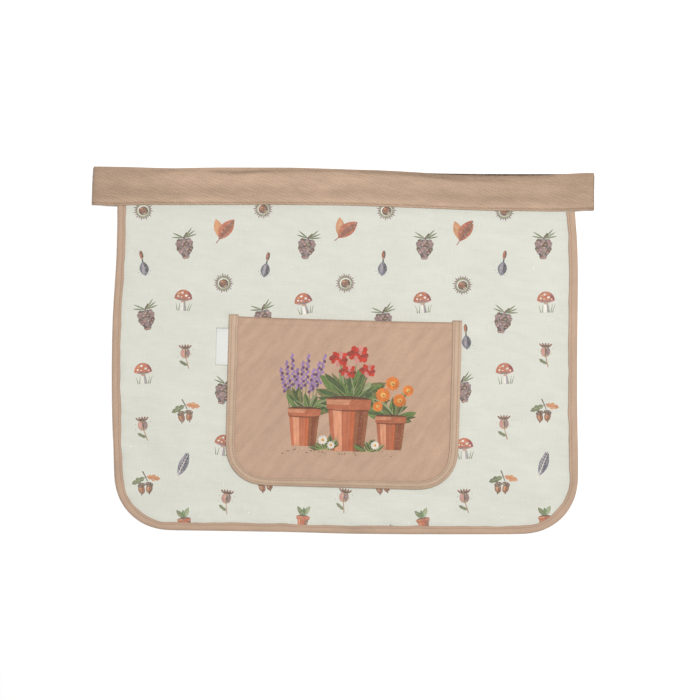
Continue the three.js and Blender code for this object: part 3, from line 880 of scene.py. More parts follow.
# Triangles inside a loop, with a net of inner points and the outlines of the strokes
def netOf(loop, inner, strokes):
    points = [Vector(p) for p in (*loop, *inner)]
    plainCount = len(points)
    outlines = [list(range(len(loop)))]
    for stroke in strokes:
        outlines.append(list(range(len(points), len(points) + len(stroke["loop"]))))
        points += [Vector(p) for p in stroke["loop"]]
    made = delaunay_2d_cdt(points, [], outlines, 1, 1e-4, True)
    spots = np.array([tuple(p) for p in made[0]])
    triangles = np.array(made[2])
    owners = []
    for found, (x, y) in zip(made[5], spots[triangles].mean(axis=1)):
        tried = sorted((i for i in found if i > 0), reverse=True)
        owners.append(next((i for i in tried if holds(strokes[i - 1]["loop"], x, y)), 0))
    within = np.array([0 in found for found in made[5]])
    triangles, owners = triangles[within], np.array(owners)[within]
    a, b, c = (spots[triangles[:, k]] for k in range(3))
    area = (b[:, 0] - a[:, 0]) * (c[:, 1] - a[:, 1]) - (b[:, 1] - a[:, 1]) * (c[:, 0] - a[:, 0])
    triangles[area < 0] = triangles[area < 0][:, ::-1]
    plain = np.array([bool(found) and min(found) < plainCount for found in made[3]])
    rim = {source: i for i, found in enumerate(made[3]) for source in found if source < len(loop)}
    return spots, triangles, owners, plain, [rim[i] for i in range(len(loop))]


# A sheet's reach, its rim at even steps, and its inner points, which lie closer near the rim
def sheetNet(node, centre, net):
    reach = soften(reachOf(node, centre)[:, None], net["soft"], closed=True)[:, 0]
    ring = reach[:, None] * ways + centre
    loop = evenly(np.vstack([ring, ring[:1]]), net["edge"])[:-1]
    chance = np.random.default_rng(net["seed"])
    kept = []
    for pitch, inside in ((net["edge"], False), (net["middle"], True)):
        count = int(reach.max() / pitch) + 1
        i, j = (grid.ravel() for grid in np.mgrid[-count:count + 1, -count:count + 1])
        spots = np.column_stack([(i + 0.5 * (j % 2)) * pitch, j * pitch * sheetForm["rowShare"]])
        spots = spots + chance.uniform(-sheetForm["stray"], sheetForm["stray"], spots.shape) * pitch
        depth = depthIn(spots, np.zeros(2), reach)
        clear = depth > net["edge"] * sheetForm["rimRoom"]
        kept.append(spots[clear & ((depth > net["band"]) == inside)])
    return reach, loop, np.vstack(kept) + centre


# A printed sheet of cloth: printed face, plain back and a rounded edge between them
def printedSheet(name, loop, inner, strokes, cover, face, under, cloth=np.asarray):
    spots, triangles, owners, plain, rim = netOf(loop, inner, strokes)
    backSpots, backTriangles, _, _, backRim = netOf(loop, inner, [])
    top, low = face(*spots.T), under(*backSpots.T)
    points = [np.column_stack([spots, top]), np.column_stack([backSpots, low])]
    faces = triangles.tolist() + (backTriangles[:, ::-1] + len(spots)).tolist()
    outward = -inwards(np.vstack([loop[-1:], loop, loop[:1]]))[1:-1]
    middle, half = (top[rim] + low[backRim]) / 2, (top[rim] - low[backRim]) / 2
    rows = [rim]
    for share in sheetForm["edgeRows"]:
        out = math.sin(math.pi * share) * 2 * half * sheetForm["bulge"]
        start = sum(len(part) for part in points)
        height = middle + math.cos(math.pi * share) * half
        points.append(np.column_stack([loop + outward * out[:, None], height]))
        rows.append(list(range(start, start + len(loop))))
    rows.append([i + len(spots) for i in backRim])
    for upper, lower in zip(rows, rows[1:]):
        for k in range(len(loop)):
            beside = (k + 1) % len(loop)
            faces.append([upper[k], lower[k], lower[beside], upper[beside]])
    points = np.vstack(points)
    piece = meshOf(name, points, faces, cloth(points[:, :2]))
    ink = np.zeros((len(piece.data.loops), 4), np.float32)
    corners = triangles.ravel()
    owner = np.repeat(owners, 3)
    colours = np.array([(0, 0, 0), *(stroke["colour"] for stroke in strokes)])[owner]
    wash = np.where(plain, sheetForm["middleWash"], sheetForm["edgeWash"])
    for size, layer, strength in sheetForm["blots"]:
        wash = wash + strength * ripple(*spots.T, size, layer)
    ink[:len(corners), :3] = colours * wash[corners][:, None]
    ink[:len(corners), 3] = np.where(owner > 0, cover, 0)
    layer = piece.data.attributes.new("ink", "FLOAT_COLOR", "CORNER")
    layer.data.foreach_set("color", ink.ravel())
    return piece, points


# Nearest place on a line: how far away it is, and how far along the line it lies
def nearestOn(line, spots):
    tree = KDTree(len(line))
    for i, spot in enumerate(line):
        tree.insert((*spot, 0), i)
    tree.balance()
    along = lengthsAlong(line)
    found = [tree.find((*spot, 0)) for spot in spots]
    return np.array([f[2] for f in found]), along[[f[1] for f in found]]


# Cloth that swells by a height, partly evenly and partly in ripples
def swelling(form, x, y):
    return form["height"] * (form["mean"] + (1 - form["mean"]) * ripple(x, y, form["size"], form["layer"]))


# Puckers along a bound seam, and wider waves in the middle of a sheet
def reliefOf(sheet, line, x, y):
    away, along = nearestOn(line, np.column_stack([x, y]))
    pucker, waves = sheet["pucker"], sheet["waves"]
    seam = smoothStep(away, *pucker["rise"]) * fading(away - pucker["peak"], pucker["fade"])
    small = swelling(pucker, along, away * pucker["slow"]) * seam
    return small + swelling(waves, x, y) * smoothStep(away, *waves["rise"])


# Painted shade that fades out from an edge over its reach
def edgeShade(part, depth):
    return part["shade"] * (1 - smoothStep(depth, *part["reach"]))


# Pocket's settings and place, which the panel needs as well
pocket = {
    "turn": -1.6, "net": {"soft": 3, "edge": 2.6, "middle": 5, "band": 26, "seed": 5},
    "pucker": {"height": 0.35, "mean": 0, "size": 9, "layer": 15, "slow": 0.3, "rise": (11, 16),
               "peak": 13, "fade": 10},
    "waves": {"height": 0.7, "mean": 0, "size": 52, "layer": 12, "rise": (14, 50)},
    # Painted shade: a line along the hem row, darker cloth at the mouth and in the gap under its lip, and
    # beside the binding
    "hem": {"depth": 9.4, "half": 1.4, "shade": 0.12, "sunk": 0.3, "steps": 120},
    "mouth": {"shade": 0.4, "reach": (0.6, 3.5)}, "lip": {"shade": 1.2, "reach": (0.1, 1.5)},
    "seam": {"shade": 0.25, "reach": (12.3, 15.8)},
    "picture": {"spot": (1, 4), "size": 1.04, "margin": 16, "cover": 0.93, "seed": 21},
    "finish": {
        "dye": (194, 162, 139), "relief": 0.55,
        "threads": {"Pitch": 2.1, "Lean": -52, "Contrast": 0.022, "Streaks": 0.03, "Grain": 0.15},
        "patches": {"Lean": -52, "Amount": 0.2, "Bands": 0.03}, "shadeAndWear": {"Darker": 0.16, "Rougher": 0.05},
        "print": {"Grain": 0.8},
    },
    "tape": {
        "width": 12.8, "fold": 2.6, "cloth": 0.9, "rows": [0.3, 0.76], "sunk": 0.32, "draw": 0.08,
        "pitch": 3.4, "puff": 0.22, "waver": 0.7, "pucker": 0.22, "seed": 4,
        "endShade": 2, "edgeShade": 1.3, "rowShade": 0.7,
        "narrower": {0: 1.0, 0.25: 1.6, 0.4: 3.2, 0.6: 2.6, 0.75: 1.4, 1: 1.3},
        "shades": {0: 0, 0.2: 0.25, 0.38: 0.55, 0.62: 0.7, 0.8: 0.25, 1: 0},
    },
}
pocketTurn = math.radians(pocket["turn"])
pocketLevel = levelling(pocketTurn)
pocketLow, pocketHigh = (corner[:2] for corner in boxOf("pocket_binding"))
pocketCentre = (pocketLow + pocketHigh) / 2
pocketLine = boundLine("pocket_binding", pocketCentre, pocketTurn)


# Spots as seen by the pocket, level and from its middle
def onPocket(spots):
    return (spots - pocketCentre) @ pocketLevel


# Shares of the way from the pocket's outline to clear cloth outside it
def clearOfPocket(spots, start, end):
    past = np.maximum(np.abs(onPocket(spots)) - np.abs(onPocket(pocketLine)).max(axis=0), 0)
    return smoothStep(np.hypot(*past.T), start, end)


# Panel: printed cotton that rises into the belt and its binding, with puckers along the seam
panel = {
    "centre": (0, -20), "net": {"soft": 4, "edge": 2.8, "middle": 5.5, "band": 34, "seed": 7}, "cloth": 1.0,
    "pucker": {"height": 0.9, "mean": 0.5, "size": 8, "layer": 2, "slow": 0.25, "rise": (10.2, 14.2),
               "peak": 11.2, "fade": 15},
    "waves": {"height": 1.1, "mean": 0.5, "size": 58, "layer": 6, "rise": (16, 60)},
    "pocketEase": (2, 22), "beltEase": (2, 14),  # where the relief dies away
    # Painted shade beside the binding, below the belt and round the pocket
    "seam": {"shade": 0.3, "reach": 4, "mean": 0.75, "size": 22, "slow": 0.4, "layer": 41},
    "beltShade": 0.5, "beltReach": 6, "beltSteps": 40, "pocketShade": 0.5, "pocketReach": 2.5,
    "print": {
        "cover": 0.92, "columnPitch": 50, "rowPitch": 68, "drop": 1 / 3, "start": (-0.2, -0.4),
        "jitter": 2.5, "tilt": 12, "size": 0.98, "over": 8, "margin": 4, "hidden": 18, "seed": 7,
        "specks": 90, "speck": (1.6, 1.1), "speckSize": (0.6, 1.3),
    },
    "finish": {
        "dye": (219, 219, 208), "sheen": 0.15, "weave": "plain", "relief": 0.4,
        "threads": {"Thread": 0.9, "Lean": 0, "Contrast": 0.014, "Slubs": 0.1},
        "patches": {"Lean": 8, "Amount": 0.11}, "shadeAndWear": {"Darker": 0.2, "Rougher": 0.05},
        "print": {"Grain": 1.2},
    },
    "tape": {
        "width": 11.2, "fold": 2.4, "cloth": 0.9, "rows": [0.7], "sunk": 0.28, "draw": 0.07,
        "pitch": 3.3, "puff": 0.3, "waver": 1.5, "pucker": 0.3, "seed": 1,
        "endShade": 0.6, "edgeShade": 0.9, "rowShade": 0.25,
        "narrower": {0: 0.6, 0.25: 0.6, 0.36: 1.1, 0.64: 1.1, 0.74: 0, 1: 0},
        "shades": {0: 0.1, 0.6: 0.1, 0.75: 0, 1: 0},
    },
}
panelCentre = np.array(panel["centre"])
panelLine = boundLine("panel_binding", panelCentre, 0)


# Motifs in dropped columns, none under the pocket or the label, and pale specks between them
def panelPrint(reach):
    form = panel["print"]
    chance = random.Random(form["seed"])
    low, high = (corner[:2] for corner in boxOf("apron_panel"))
    labelLow, labelHigh = (corner[:2] for corner in boxOf("side_label"))
    inner = (pocketHigh - pocketLow) / 2 - form["hidden"]
    placed = []
    for column in range(int((high[0] - low[0]) / form["columnPitch"]) + 2):
        for row in range(int((high[1] - low[1]) / form["rowPitch"]) + 2):
            x = low[0] + (column + form["start"][0]) * form["columnPitch"]
            y = low[1] + (row + (column * form["drop"]) % 1 + form["start"][1]) * form["rowPitch"]
            spot = np.array((x, y)) + [chance.uniform(-1, 1) * form["jitter"] for _ in range(2)]
            tilt = chance.uniform(-1, 1) * form["tilt"]
            depth = depthIn(spot[None], panelCentre, reach)[0]
            hidden = (np.abs(onPocket(spot)) < inner).all()
            covered = (labelLow < spot).all() and (spot < labelHigh).all()
            if depth > -form["over"] and not hidden and not covered:
                motif = motifs[(3 * column + 7 * row + column // 3) % len(motifs)]
                placed += setDown(motif(), spot, tilt, form["size"], chance)
    for _ in range(form["specks"]):
        spot = (chance.uniform(low[0], high[0]), chance.uniform(low[1], high[1]))
        speck = [("white", oval(0, 0, *form["speck"], 0, 7))]
        placed += setDown(speck, spot, chance.uniform(0, 90), chance.uniform(*form["speckSize"]), chance)
    return trimmed(placed, panelCentre, reach, form["margin"])


def makePanel():
    reach, loop, inner = sheetNet("apron_panel", panelCentre, panel["net"])
    surface = surfaceOf("apron_panel")
    beltEdge = boxOf("waist_belt")[0][1]

    def face(x, y):
        free = clearOfPocket(np.column_stack([x, y]), *panel["pocketEase"])
        free = free * smoothStep(beltEdge - y, *panel["beltEase"])
        return surface(x, y) + reliefOf(panel, panelLine, x, y) * free

    def under(x, y):
        return face(x, y) - panel["cloth"]

    strokes, cover = panelPrint(reach), panel["print"]["cover"]
    piece, points = printedSheet("panelSheet", loop, inner, strokes, cover, face, under)
    spots = points[:, :2]
    # Painted shade: the panel is darker beside its binding, below the belt and round the pocket, where
    # their shadows fall
    seam = panel["seam"]
    away, along = nearestOn(panelLine, spots)
    past = away - panel["tape"]["width"]
    patchy = seam["mean"] + ripple(along, past * seam["slow"], seam["size"], seam["layer"])
    paintedShading = seam["shade"] * np.clip(patchy * fading(past, seam["reach"]), 0, 1)
    places = np.linspace(*panelLine[[0, -1], 0], panel["beltSteps"])
    foot = [crossings("waist_belt", x)[:, 1].min() for x in places]
    below = np.interp(spots[:, 0], places, foot) - spots[:, 1]
    paintedShading = paintedShading + panel["beltShade"] * fading(below, panel["beltReach"])
    beside, _ = nearestOn(pocketLine, spots)
    paintShading(piece, paintedShading + panel["pocketShade"] * fading(beside, panel["pocketReach"]))
    return piece


panelSheet = makePanel()
print("panel made:", len(panelSheet.data.polygons), "faces")
panelTape, panelRows = foldedTape("panelTape", "panel_binding", panelLine, panel["tape"])
print("panel binding made:", len(panelTape.data.polygons), "faces")


# Pocket: printed twill patch that stands off the panel at its mouth
def makePocket():
    reach, loop, inner = sheetNet("pocket_panel", pocketCentre, pocket["net"])
    picture, hem = pocket["picture"], pocket["hem"]
    cover = picture["cover"]
    chance = random.Random(picture["seed"])
    spot = pocketCentre + picture["spot"]
    strokes = setDown(pottedFlowers(picture), spot, pocket["turn"], picture["size"], chance)
    strokes = trimmed(strokes, pocketCentre, reach, picture["margin"])
    upper = surfaceOf("pocket_panel")
    lower = surfaceOf("pocket_panel", below=True)

    def face(x, y):
        return upper(x, y) + reliefOf(pocket, pocketLine, x, y)

    def under(x, y):
        return lower(x, y) + reliefOf(pocket, pocketLine, x, y)

    piece, points = printedSheet("pocketSheet", loop, inner, strokes, cover, face, under, onPocket)
    x, y = onPocket(points[:, :2]).T
    depth = y.max() - y
    rim = onPocket(loop)
    rim = rim[rim[:, 1] > y.max() - hem["depth"]]
    lipDepth = np.interp(x, *rim[np.argsort(rim[:, 0])].T) - y
    # Painted shade along the hem row, at the mouth, in the gap under the lip and beside the binding
    paintedShading = hem["shade"] * bell(depth - hem["depth"], hem["half"])
    paintedShading = paintedShading + edgeShade(pocket["mouth"], depth) + edgeShade(pocket["lip"], lipDepth)
    paintShading(piece, paintedShading + edgeShade(pocket["seam"], nearestOn(pocketLine, points[:, :2])[0]))
    across = np.linspace(-1, 1, hem["steps"]) * (x.max() - pocket["tape"]["width"])
    up = np.full(hem["steps"], y.max() - hem["depth"])
    line = np.column_stack([across, up]) @ pocketLevel.T + pocketCentre
    return piece, np.column_stack([line, face(*line.T) - hem["sunk"]])


pocketSheet, hemRow = makePocket()
print("pocket made:", len(pocketSheet.data.polygons), "faces")
pocketTape, pocketRows = foldedTape("pocketTape", "pocket_binding", pocketLine, pocket["tape"])
print("pocket binding made:", len(pocketTape.data.polygons), "faces")


# Belt: a strip folded double along its top, turned back at both ends into two ties
belt = {
    "tieEnd": 12, "tieThick": 2.0, "gap": 0.3, "step": 3, "foldSteps": 12, "tieEase": 40,
    "slotDepth": 13.3, "slotHalf": 0.8, "seamDepth": 1.2, "seamHalf": 0.1, "slotEase": (-4, 2),
    "topRoll": 3.4, "crown": 0.35, "slant": 0.045, "slantReach": (10, 60),
    "peekDrop": 0.6, "peekEase": (0.3, 1.2),  # where the tie behind shows over the fold
    "row": {"up": 2.7, "half": 0.9, "sunk": 0.3, "lift": 0.3, "shade": 0.9},
    "dents": {"height": 0.5, "rise": (4, 14), "forms": ((34, 1.6, 31, 1), (15, 2.4, 37, 0.5))},
    # Places across the strip, up from its lower edge or down from its fold
    "nearEdge": [0.7, 1.2, 1.7, 2.2, 2.7, 3.2, 3.8, 4.6, 5.6, 7, 9], "middleRows": (12, 10, 12),
    "nearTop": [8, 6.6, 5.4, 4.2, 3.2, 2.3, 1.5, 0.8, 0.3, 0.1], "lipSteps": 5,
    "backTop": [0.4, 1.4, 3], "backRows": (6, 6, 8), "backEdge": [3, 1.4],
    # Painted shade on the strip, below zero where it is painted paler as a highlight
    "endShade": {-1: 0.5, 1: 0.95}, "endReach": (22, 62), "turnShade": {-1: 1.4, 1: 2.4},
    "tipShade": {-1: 1.2, 1: 0}, "tipReach": 7, "innerShade": 0.6, "peekShade": 4.6,
    "shadeRange": (-0.5, 2.4), "ridge": {"pale": 0.5, "up": 5.8, "half": 2.2},
    "fold": {"shade": 0.4, "reach": 0.9}, "peekFold": {"shade": 1.1, "half": 2.9},
    "drop": {"shade": 0.1, "peekShade": 1.4, "reach": 12},
    "patches": ((40, 17, 0.6), (13, 19, 0.3)),  # size, layer and strength
    # Painted shade over the panel's top edge inside the belt, painted light between that and the fold, and
    # darker near one end
    "ledge": {"shade": 0.6, "up": 15.9, "half": 5, "start": -262, "end": 262, "soft": 25},
    "swell": {"pale": 0.42, "depth": 14, "half": 8.5, "start": -200, "end": 165, "soft": 40},
    "dim": {"shade": 0.45, "start": -268, "end": -222, "soft": 30},
    "bandHalf": 2.5, "bandEven": 0.7,
    "band": {  # along the waist: depth below the fold and shade of the pinched cloth there
        -290: (3, 0), -251: (6.5, 0.6), -212: (2.6, 0.9), -174: (4, 0.9), -135: (6.6, 2.6), -96: (4.8, 2.3),
        -57: (4, 1.1), -19: (2.5, 1.7), 59: (2.8, 1.7), 97: (2.7, 2), 136: (5.4, 1), 175: (6.2, 0.9),
        214: (7.5, 0.3), 252: (3, 0), 291: (3, 0.2),
    },
    "finish": {
        "dye": (189, 161, 138), "relief": 0.8,
        "threads": {"Pitch": 3.6, "Lean": 24, "Contrast": 0.031, "Streaks": 0.04, "Grain": 0.14},
        "patches": {"Lean": 5, "Amount": 0.32, "Yarns": 0.3}, "shadeAndWear": {"Darker": 0.16, "Rougher": 0.05},
    },
}
beltLow, beltHigh = boxOf("waist_belt")


# How far a place along the waist lies in a stretch with soft ends
def stretch(x, part):
    start, end, soft = part["start"], part["end"], part["soft"]
    return smoothStep(x, start - soft, start) * (1 - smoothStep(x, end, end + soft))


# The belt's edges along the waist, for the front run and for the ties behind it
def beltEdges(pitch=6.0, ends=(6.3, 6)):
    tie = belt["tieThick"] + belt["gap"] / 2
    places = np.arange(beltLow[0] + ends[0], beltHigh[0] - ends[1], pitch)
    rows = []
    for x in places:
        cut = crossings("waist_belt", x)
        run, behind = cut[cut[:, 2] > tie], cut[cut[:, 2] < tie]
        behind = behind if len(behind) else run
        edges = [edge for part in (run, behind) for edge in (part[:, 1].max(), part[:, 1].min())]
        rows.append((*edges, run[:, 2].max()))
    columns = dict(zip(("top", "bottom", "tieTop", "tieBottom", "height"), soften(np.array(rows), 2).T))

    def at(x):
        edge = {key: np.interp(x, places, column) for key, column in columns.items()}
        return {**edge, "peek": smoothStep(edge["tieTop"] - edge["top"], *belt["peekEase"])}

    return at


# Stations along the strip, from one tie's end through the front run to the other's
def beltStations():
    edges = beltEdges()
    half = belt["tieThick"] / 2
    bend = half + belt["gap"] / 2
    foldX = beltHigh[0] - bend - half
    lowRun = belt["tieThick"] + belt["gap"]
    shut = {"slot": belt["seamDepth"], "slit": belt["seamHalf"]}

    def tieAt(side, x):
        edge = edges(side * x)
        behind = 1 - smoothStep(x, foldX - belt["tieEase"], foldX)
        top = edge["top"] * (1 - behind) + edge["tieTop"] * behind
        bottom = edge["bottom"] * (1 - behind) + edge["tieBottom"] * behind
        place = {"x": side * x, "z": half, "lean": math.pi, "half": half, "front": 0}
        return {**edge, **shut, **place, "top": top, "bottom": bottom}

    def foldAt(side, turn):
        x, z = side * (foldX + bend * math.sin(turn)), half + bend * (1 - math.cos(turn))
        place = {"x": x, "z": z, "lean": side * (math.pi - turn), "half": half, "front": turn / math.pi}
        return {**edges(x), **shut, **place}

    def runAt(x):
        edge = edges(x)
        thick = edge["height"] - lowRun
        share = smoothStep(min(x - panelLine[0][0], panelLine[-1][0] - x), *belt["slotEase"])
        slot = {"slot": belt["seamDepth"] + share * (belt["slotDepth"] - belt["seamDepth"]),
                "slit": belt["seamHalf"] + share * (belt["slotHalf"] - belt["seamHalf"])}
        place = {"x": x, "z": lowRun + thick / 2, "lean": 0, "half": thick / 2, "front": 1}
        return {**edge, **slot, **place, "top": edge["top"] - belt["peekDrop"] * edge["peek"]}

    ties = np.linspace(belt["tieEnd"], foldX, int((foldX - belt["tieEnd"]) / belt["step"]))
    turns = np.linspace(0, math.pi, belt["foldSteps"] + 1)[1:-1]
    stations = [tieAt(-1, x) for x in ties] + [foldAt(-1, turn) for turn in turns]
    stations += [runAt(x) for x in np.linspace(-foldX, foldX, int(2 * foldX / belt["step"]))]
    return stations + [foldAt(1, turn) for turn in turns[::-1]] + [tieAt(1, x) for x in ties[::-1]]


# The strip's section at a station: places up from its lower edge and out from its middle
def beltSection(station, along):
    wide = station["top"] - station["bottom"]
    half, slit, slot = station["half"], station["slit"], station["slot"]
    start, end, count = belt["middleRows"]
    nearTop, backTop = np.array(belt["nearTop"]), np.array(belt["backTop"])
    up = np.concatenate([belt["nearEdge"], np.linspace(start, wide - end, count), wide - nearTop])
    roll = rounded(wide - up, belt["topRoll"])
    dents, row = belt["dents"], belt["row"]
    still = np.full(len(up), along)
    dent = sum(share * ripple(still, up * slow, size, layer) for size, slow, layer, share in dents["forms"])
    dent = dents["height"] * dent * smoothStep(up, *dents["rise"]) * roll
    crown = belt["crown"] * (1 - (2 * up / wide - 1) ** 4) + dent
    front = half * roll + crown * station["front"] - row["sunk"] * bell(up - row["up"], row["half"])
    start, end, count = belt["backRows"]
    backUp = np.concatenate([wide - backTop, np.linspace(wide - start, end, count), belt["backEdge"]])
    rounding, middle = (half - slit) / 2, (half + slit) / 2
    turns = np.linspace(0, math.pi, belt["lipSteps"])
    lip = np.column_stack([1 - np.sin(turns), -np.cos(turns)]) * rounding
    back = -half * rounded(wide - backUp, belt["topRoll"])
    section = [*zip(up, front), (wide, 0.0), *zip(backUp, back), *(lip - (0, middle))]
    return up, [*section, (slot, -slit), (slot, slit), *(lip + (0, middle))]


# Painted shade and light on the strip's face at a station
def beltShades(station, up, along):
    x, shown, peek = station["x"], station["front"], station["peek"]
    depth = station["top"] - station["bottom"] - up
    side = -1 if x < 0 else 1
    fromEnd = beltHigh[0] - abs(x)
    patchy = 1 + sum(strength * noise.noise(Vector((along / size, 0, layer)))
                     for size, layer, strength in belt["patches"])
    bandDepths, bandShades = np.array(list(belt["band"].values())).T
    bandDepth, bandShade = (np.interp(x, list(belt["band"]), column) for column in (bandDepths, bandShades))
    pinch = bandShade * (belt["bandEven"] + (1 - belt["bandEven"]) * patchy)
    fold, peekFold, drop = belt["fold"], belt["peekFold"], belt["drop"]
    # Painted shade in the pinch under the fold, right at the fold, along the fold where the tie peeks, and
    # spreading below it
    dark = pinch * bell(depth - bandDepth, belt["bandHalf"])
    dark = dark + fold["shade"] * patchy * fading(depth, fold["reach"]) * (1 - peek)
    dark = dark + peekFold["shade"] * patchy * bell(depth, peekFold["half"]) * peek
    dark = dark + (drop["shade"] * patchy + drop["peekShade"] * peek) * fading(depth, drop["reach"])
    ledge, swell, dim, ridge, row = (belt[key] for key in ("ledge", "swell", "dim", "ridge", "row"))
    # Painted shade over the panel's edge inside, painted light on the swell above it, darker near the left
    # end and towards both ends
    lie = ledge["shade"] * stretch(x, ledge) * bell(up - ledge["up"], ledge["half"])
    lie = lie - swell["pale"] * stretch(x, swell) * bell(depth - swell["depth"], swell["half"])
    ends = belt["endShade"][side] * (1 - smoothStep(fromEnd, *belt["endReach"]))
    ends = ends + belt["tipShade"][side] * math.exp(-fromEnd / belt["tipReach"])
    dark = dark + (lie + dim["shade"] * stretch(x, dim) + ends) * shown
    # Painted shade where the strip turns under at each end and in the stitch row's hollow, and a painted
    # highlight on the ridge above the row
    dark = dark + belt["turnShade"][side] * math.sin(math.pi * shown)
    dark = dark + row["shade"] * bell(up - row["up"], row["half"])
    return np.clip(dark - ridge["pale"] * bell(up - ridge["up"], ridge["half"]), *belt["shadeRange"])


def makeBelt():
    inner, row = belt["innerShade"], belt["row"]
    rings, cloth, paintedShading, stitches = [], [], [], []
    along, before = 0, None
    for station in beltStations():
        x, z, bottom, shown = (station[key] for key in ("x", "z", "bottom", "front"))
        along += math.hypot(x - before[0], z - before[1]) if before else 0
        before = (x, z)
        up, section = beltSection(station, along)
        aside, ahead = math.sin(station["lean"]), math.cos(station["lean"])
        slant = belt["slant"] * (1 - smoothStep(x + beltHigh[0], *belt["slantReach"]))
        rings.append([(x + out * aside + slant * v, bottom + v, z + out * ahead) for v, out in section])
        cloth.append([(along, v) for v in lengthsAlong(np.array(section))])
        # Painted shadow on the tie's edge where it shows over the front run, and painted shade on the faces
        # inside
        behind = inner + (belt["peekShade"] - inner) * station["peek"] * (1 - shown)
        nearFold = 1 + len(belt["backTop"])
        rest = len(section) - len(up) - nearFold - belt["lipSteps"]
        shades = [behind] * nearFold + [inner] * rest + [0] * belt["lipSteps"]
        paintedShading.append([*beltShades(station, up, along), *shades])
        out = station["half"] - row["sunk"] + belt["crown"] * row["lift"] * shown
        stitches.append((x + out * aside, bottom + row["up"], z + out * ahead, shown))
    stitches = np.array(stitches)
    spots, shown = stitches[:, :3], stitches[:, 3]
    ties = [spots[(shown == 0) & (spots[:, 0] * side > 0)] for side in (-1, 1)]
    return ringPiece("beltStrip", rings, cloth, paintedShading), spots[shown == 1], ties


beltStrip, beltRow, tieRows = makeBelt()
print("belt made:", len(beltStrip.data.polygons), "faces")


# Label: a bare ribbon folded over at its outer end, with both leaves caught in the pocket's seam
label = {
    "shown": 16.5, "tucked": 6, "long": 46.5, "ribbon": 0.45, "loop": 0.5, "flat": 0.9,
    "bendWide": 1.6, "bendBack": 0.4,
    "leafSteps": 10, "bendSteps": 9, "sideSteps": 26, "curl": 0.5, "wave": 0.12, "waveSize": (6, 3),
    "edgeShade": 0.8, "end": {"shade": 5, "reach": (0.008, 0.05)},
    "finish": {
        "dye": (226, 226, 221), "gloss": 0.25, "sheen": 0.1, "relief": 0.25,
        "threads": {"Pitch": 0.8, "Lean": 0, "Contrast": 0.012, "Streaks": 0.03},
        "patches": {"Lean": 0, "Amount": 0.02}, "shadeAndWear": {"Darker": 0.1, "Rougher": 0.02},
    },
}


def makeLabel():
    low, high = boxOf("side_label")
    centre = (low[:2] + high[:2]) / 2
    reach, half = label["shown"] + label["tucked"], label["long"] / 2
    ribbon = label["ribbon"]
    bend = (label["loop"] + ribbon) / 2
    flat = reach * (1 - np.linspace(0, label["flat"], label["leafSteps"]))
    turns = np.radians(np.linspace(90, 270, label["bendSteps"])[1:-1])
    bendX = reach * (1 - label["flat"]) - bend * label["bendBack"]
    xs = np.concatenate([flat, bendX + bend * label["bendWide"] * np.cos(turns), flat[::-1]])
    rises = np.concatenate([np.ones(len(flat)), np.sin(turns), -np.ones(len(flat))])
    path = np.column_stack([xs, ribbon / 2 + bend * (1 + rises)])
    out = inwards(path) * ribbon / 2
    section = np.vstack([path - out, (path + out)[::-1]])
    around = lengthsAlong(section)
    waveX, waveY = label["waveSize"]
    rings, cloth, paintedShading = [], [], []
    for t in np.sin(np.linspace(-0.5, 0.5, label["sideSteps"]) * math.pi):
        edge = abs(t) ** 6
        ring = []
        for x, z in section:
            lift = label["wave"] * noise.noise(Vector((x / waveX, t * waveY, 4)))
            lift = lift + label["curl"] * edge * (1 - x / reach)
            ring.append((*(centre + pocketLevel @ (x - reach / 2, t * half)), low[2] + z + max(0, lift)))
        rings.append(ring)
        cloth.append([(t * half, v) for v in around])
        # Painted shade along both side edges and a dark line at the top end
        paintedShading.append([label["edgeShade"] * edge + edgeShade(label["end"], 1 - t)] * len(section))
    return ringPiece("labelRibbon", rings, cloth, paintedShading)


labelRibbon = makeLabel()
print("label made")


# Sewing: short raised threads, one after another, that dip into the cloth at both ends
thread = {
    "radius": 0.34, "dip": 0.3, "rise": 0.1, "sides": 6, "stray": 0.09, "uneven": 0.08, "apart": 7,
    "form": {-1: 0.25, -0.72: 0.8, -0.25: 1, 0.25: 1, 0.72: 0.8, 1: 0.25},  # thickness along a stitch
    "panelRows": {"pitch": 3.4, "length": 2.1, "seed": 3},
    "pocketRows": {"pitch": 3.6, "length": 2.2, "seed": 8},
    "beltRows": {"pitch": 3.4, "length": 2.0, "seed": 9},
    "finish": {
        "dye": (164, 134, 110), "gloss": 0.3, "sheen": 0.1, "relief": 0.3,
        "threads": {"Pitch": 0.5, "Lean": 35, "Contrast": 0.05, "Streaks": 0.05},
        "patches": {"Lean": 0, "Amount": 0.03}, "shadeAndWear": {"Darker": 0.5, "Rougher": 0.02},
    },
}


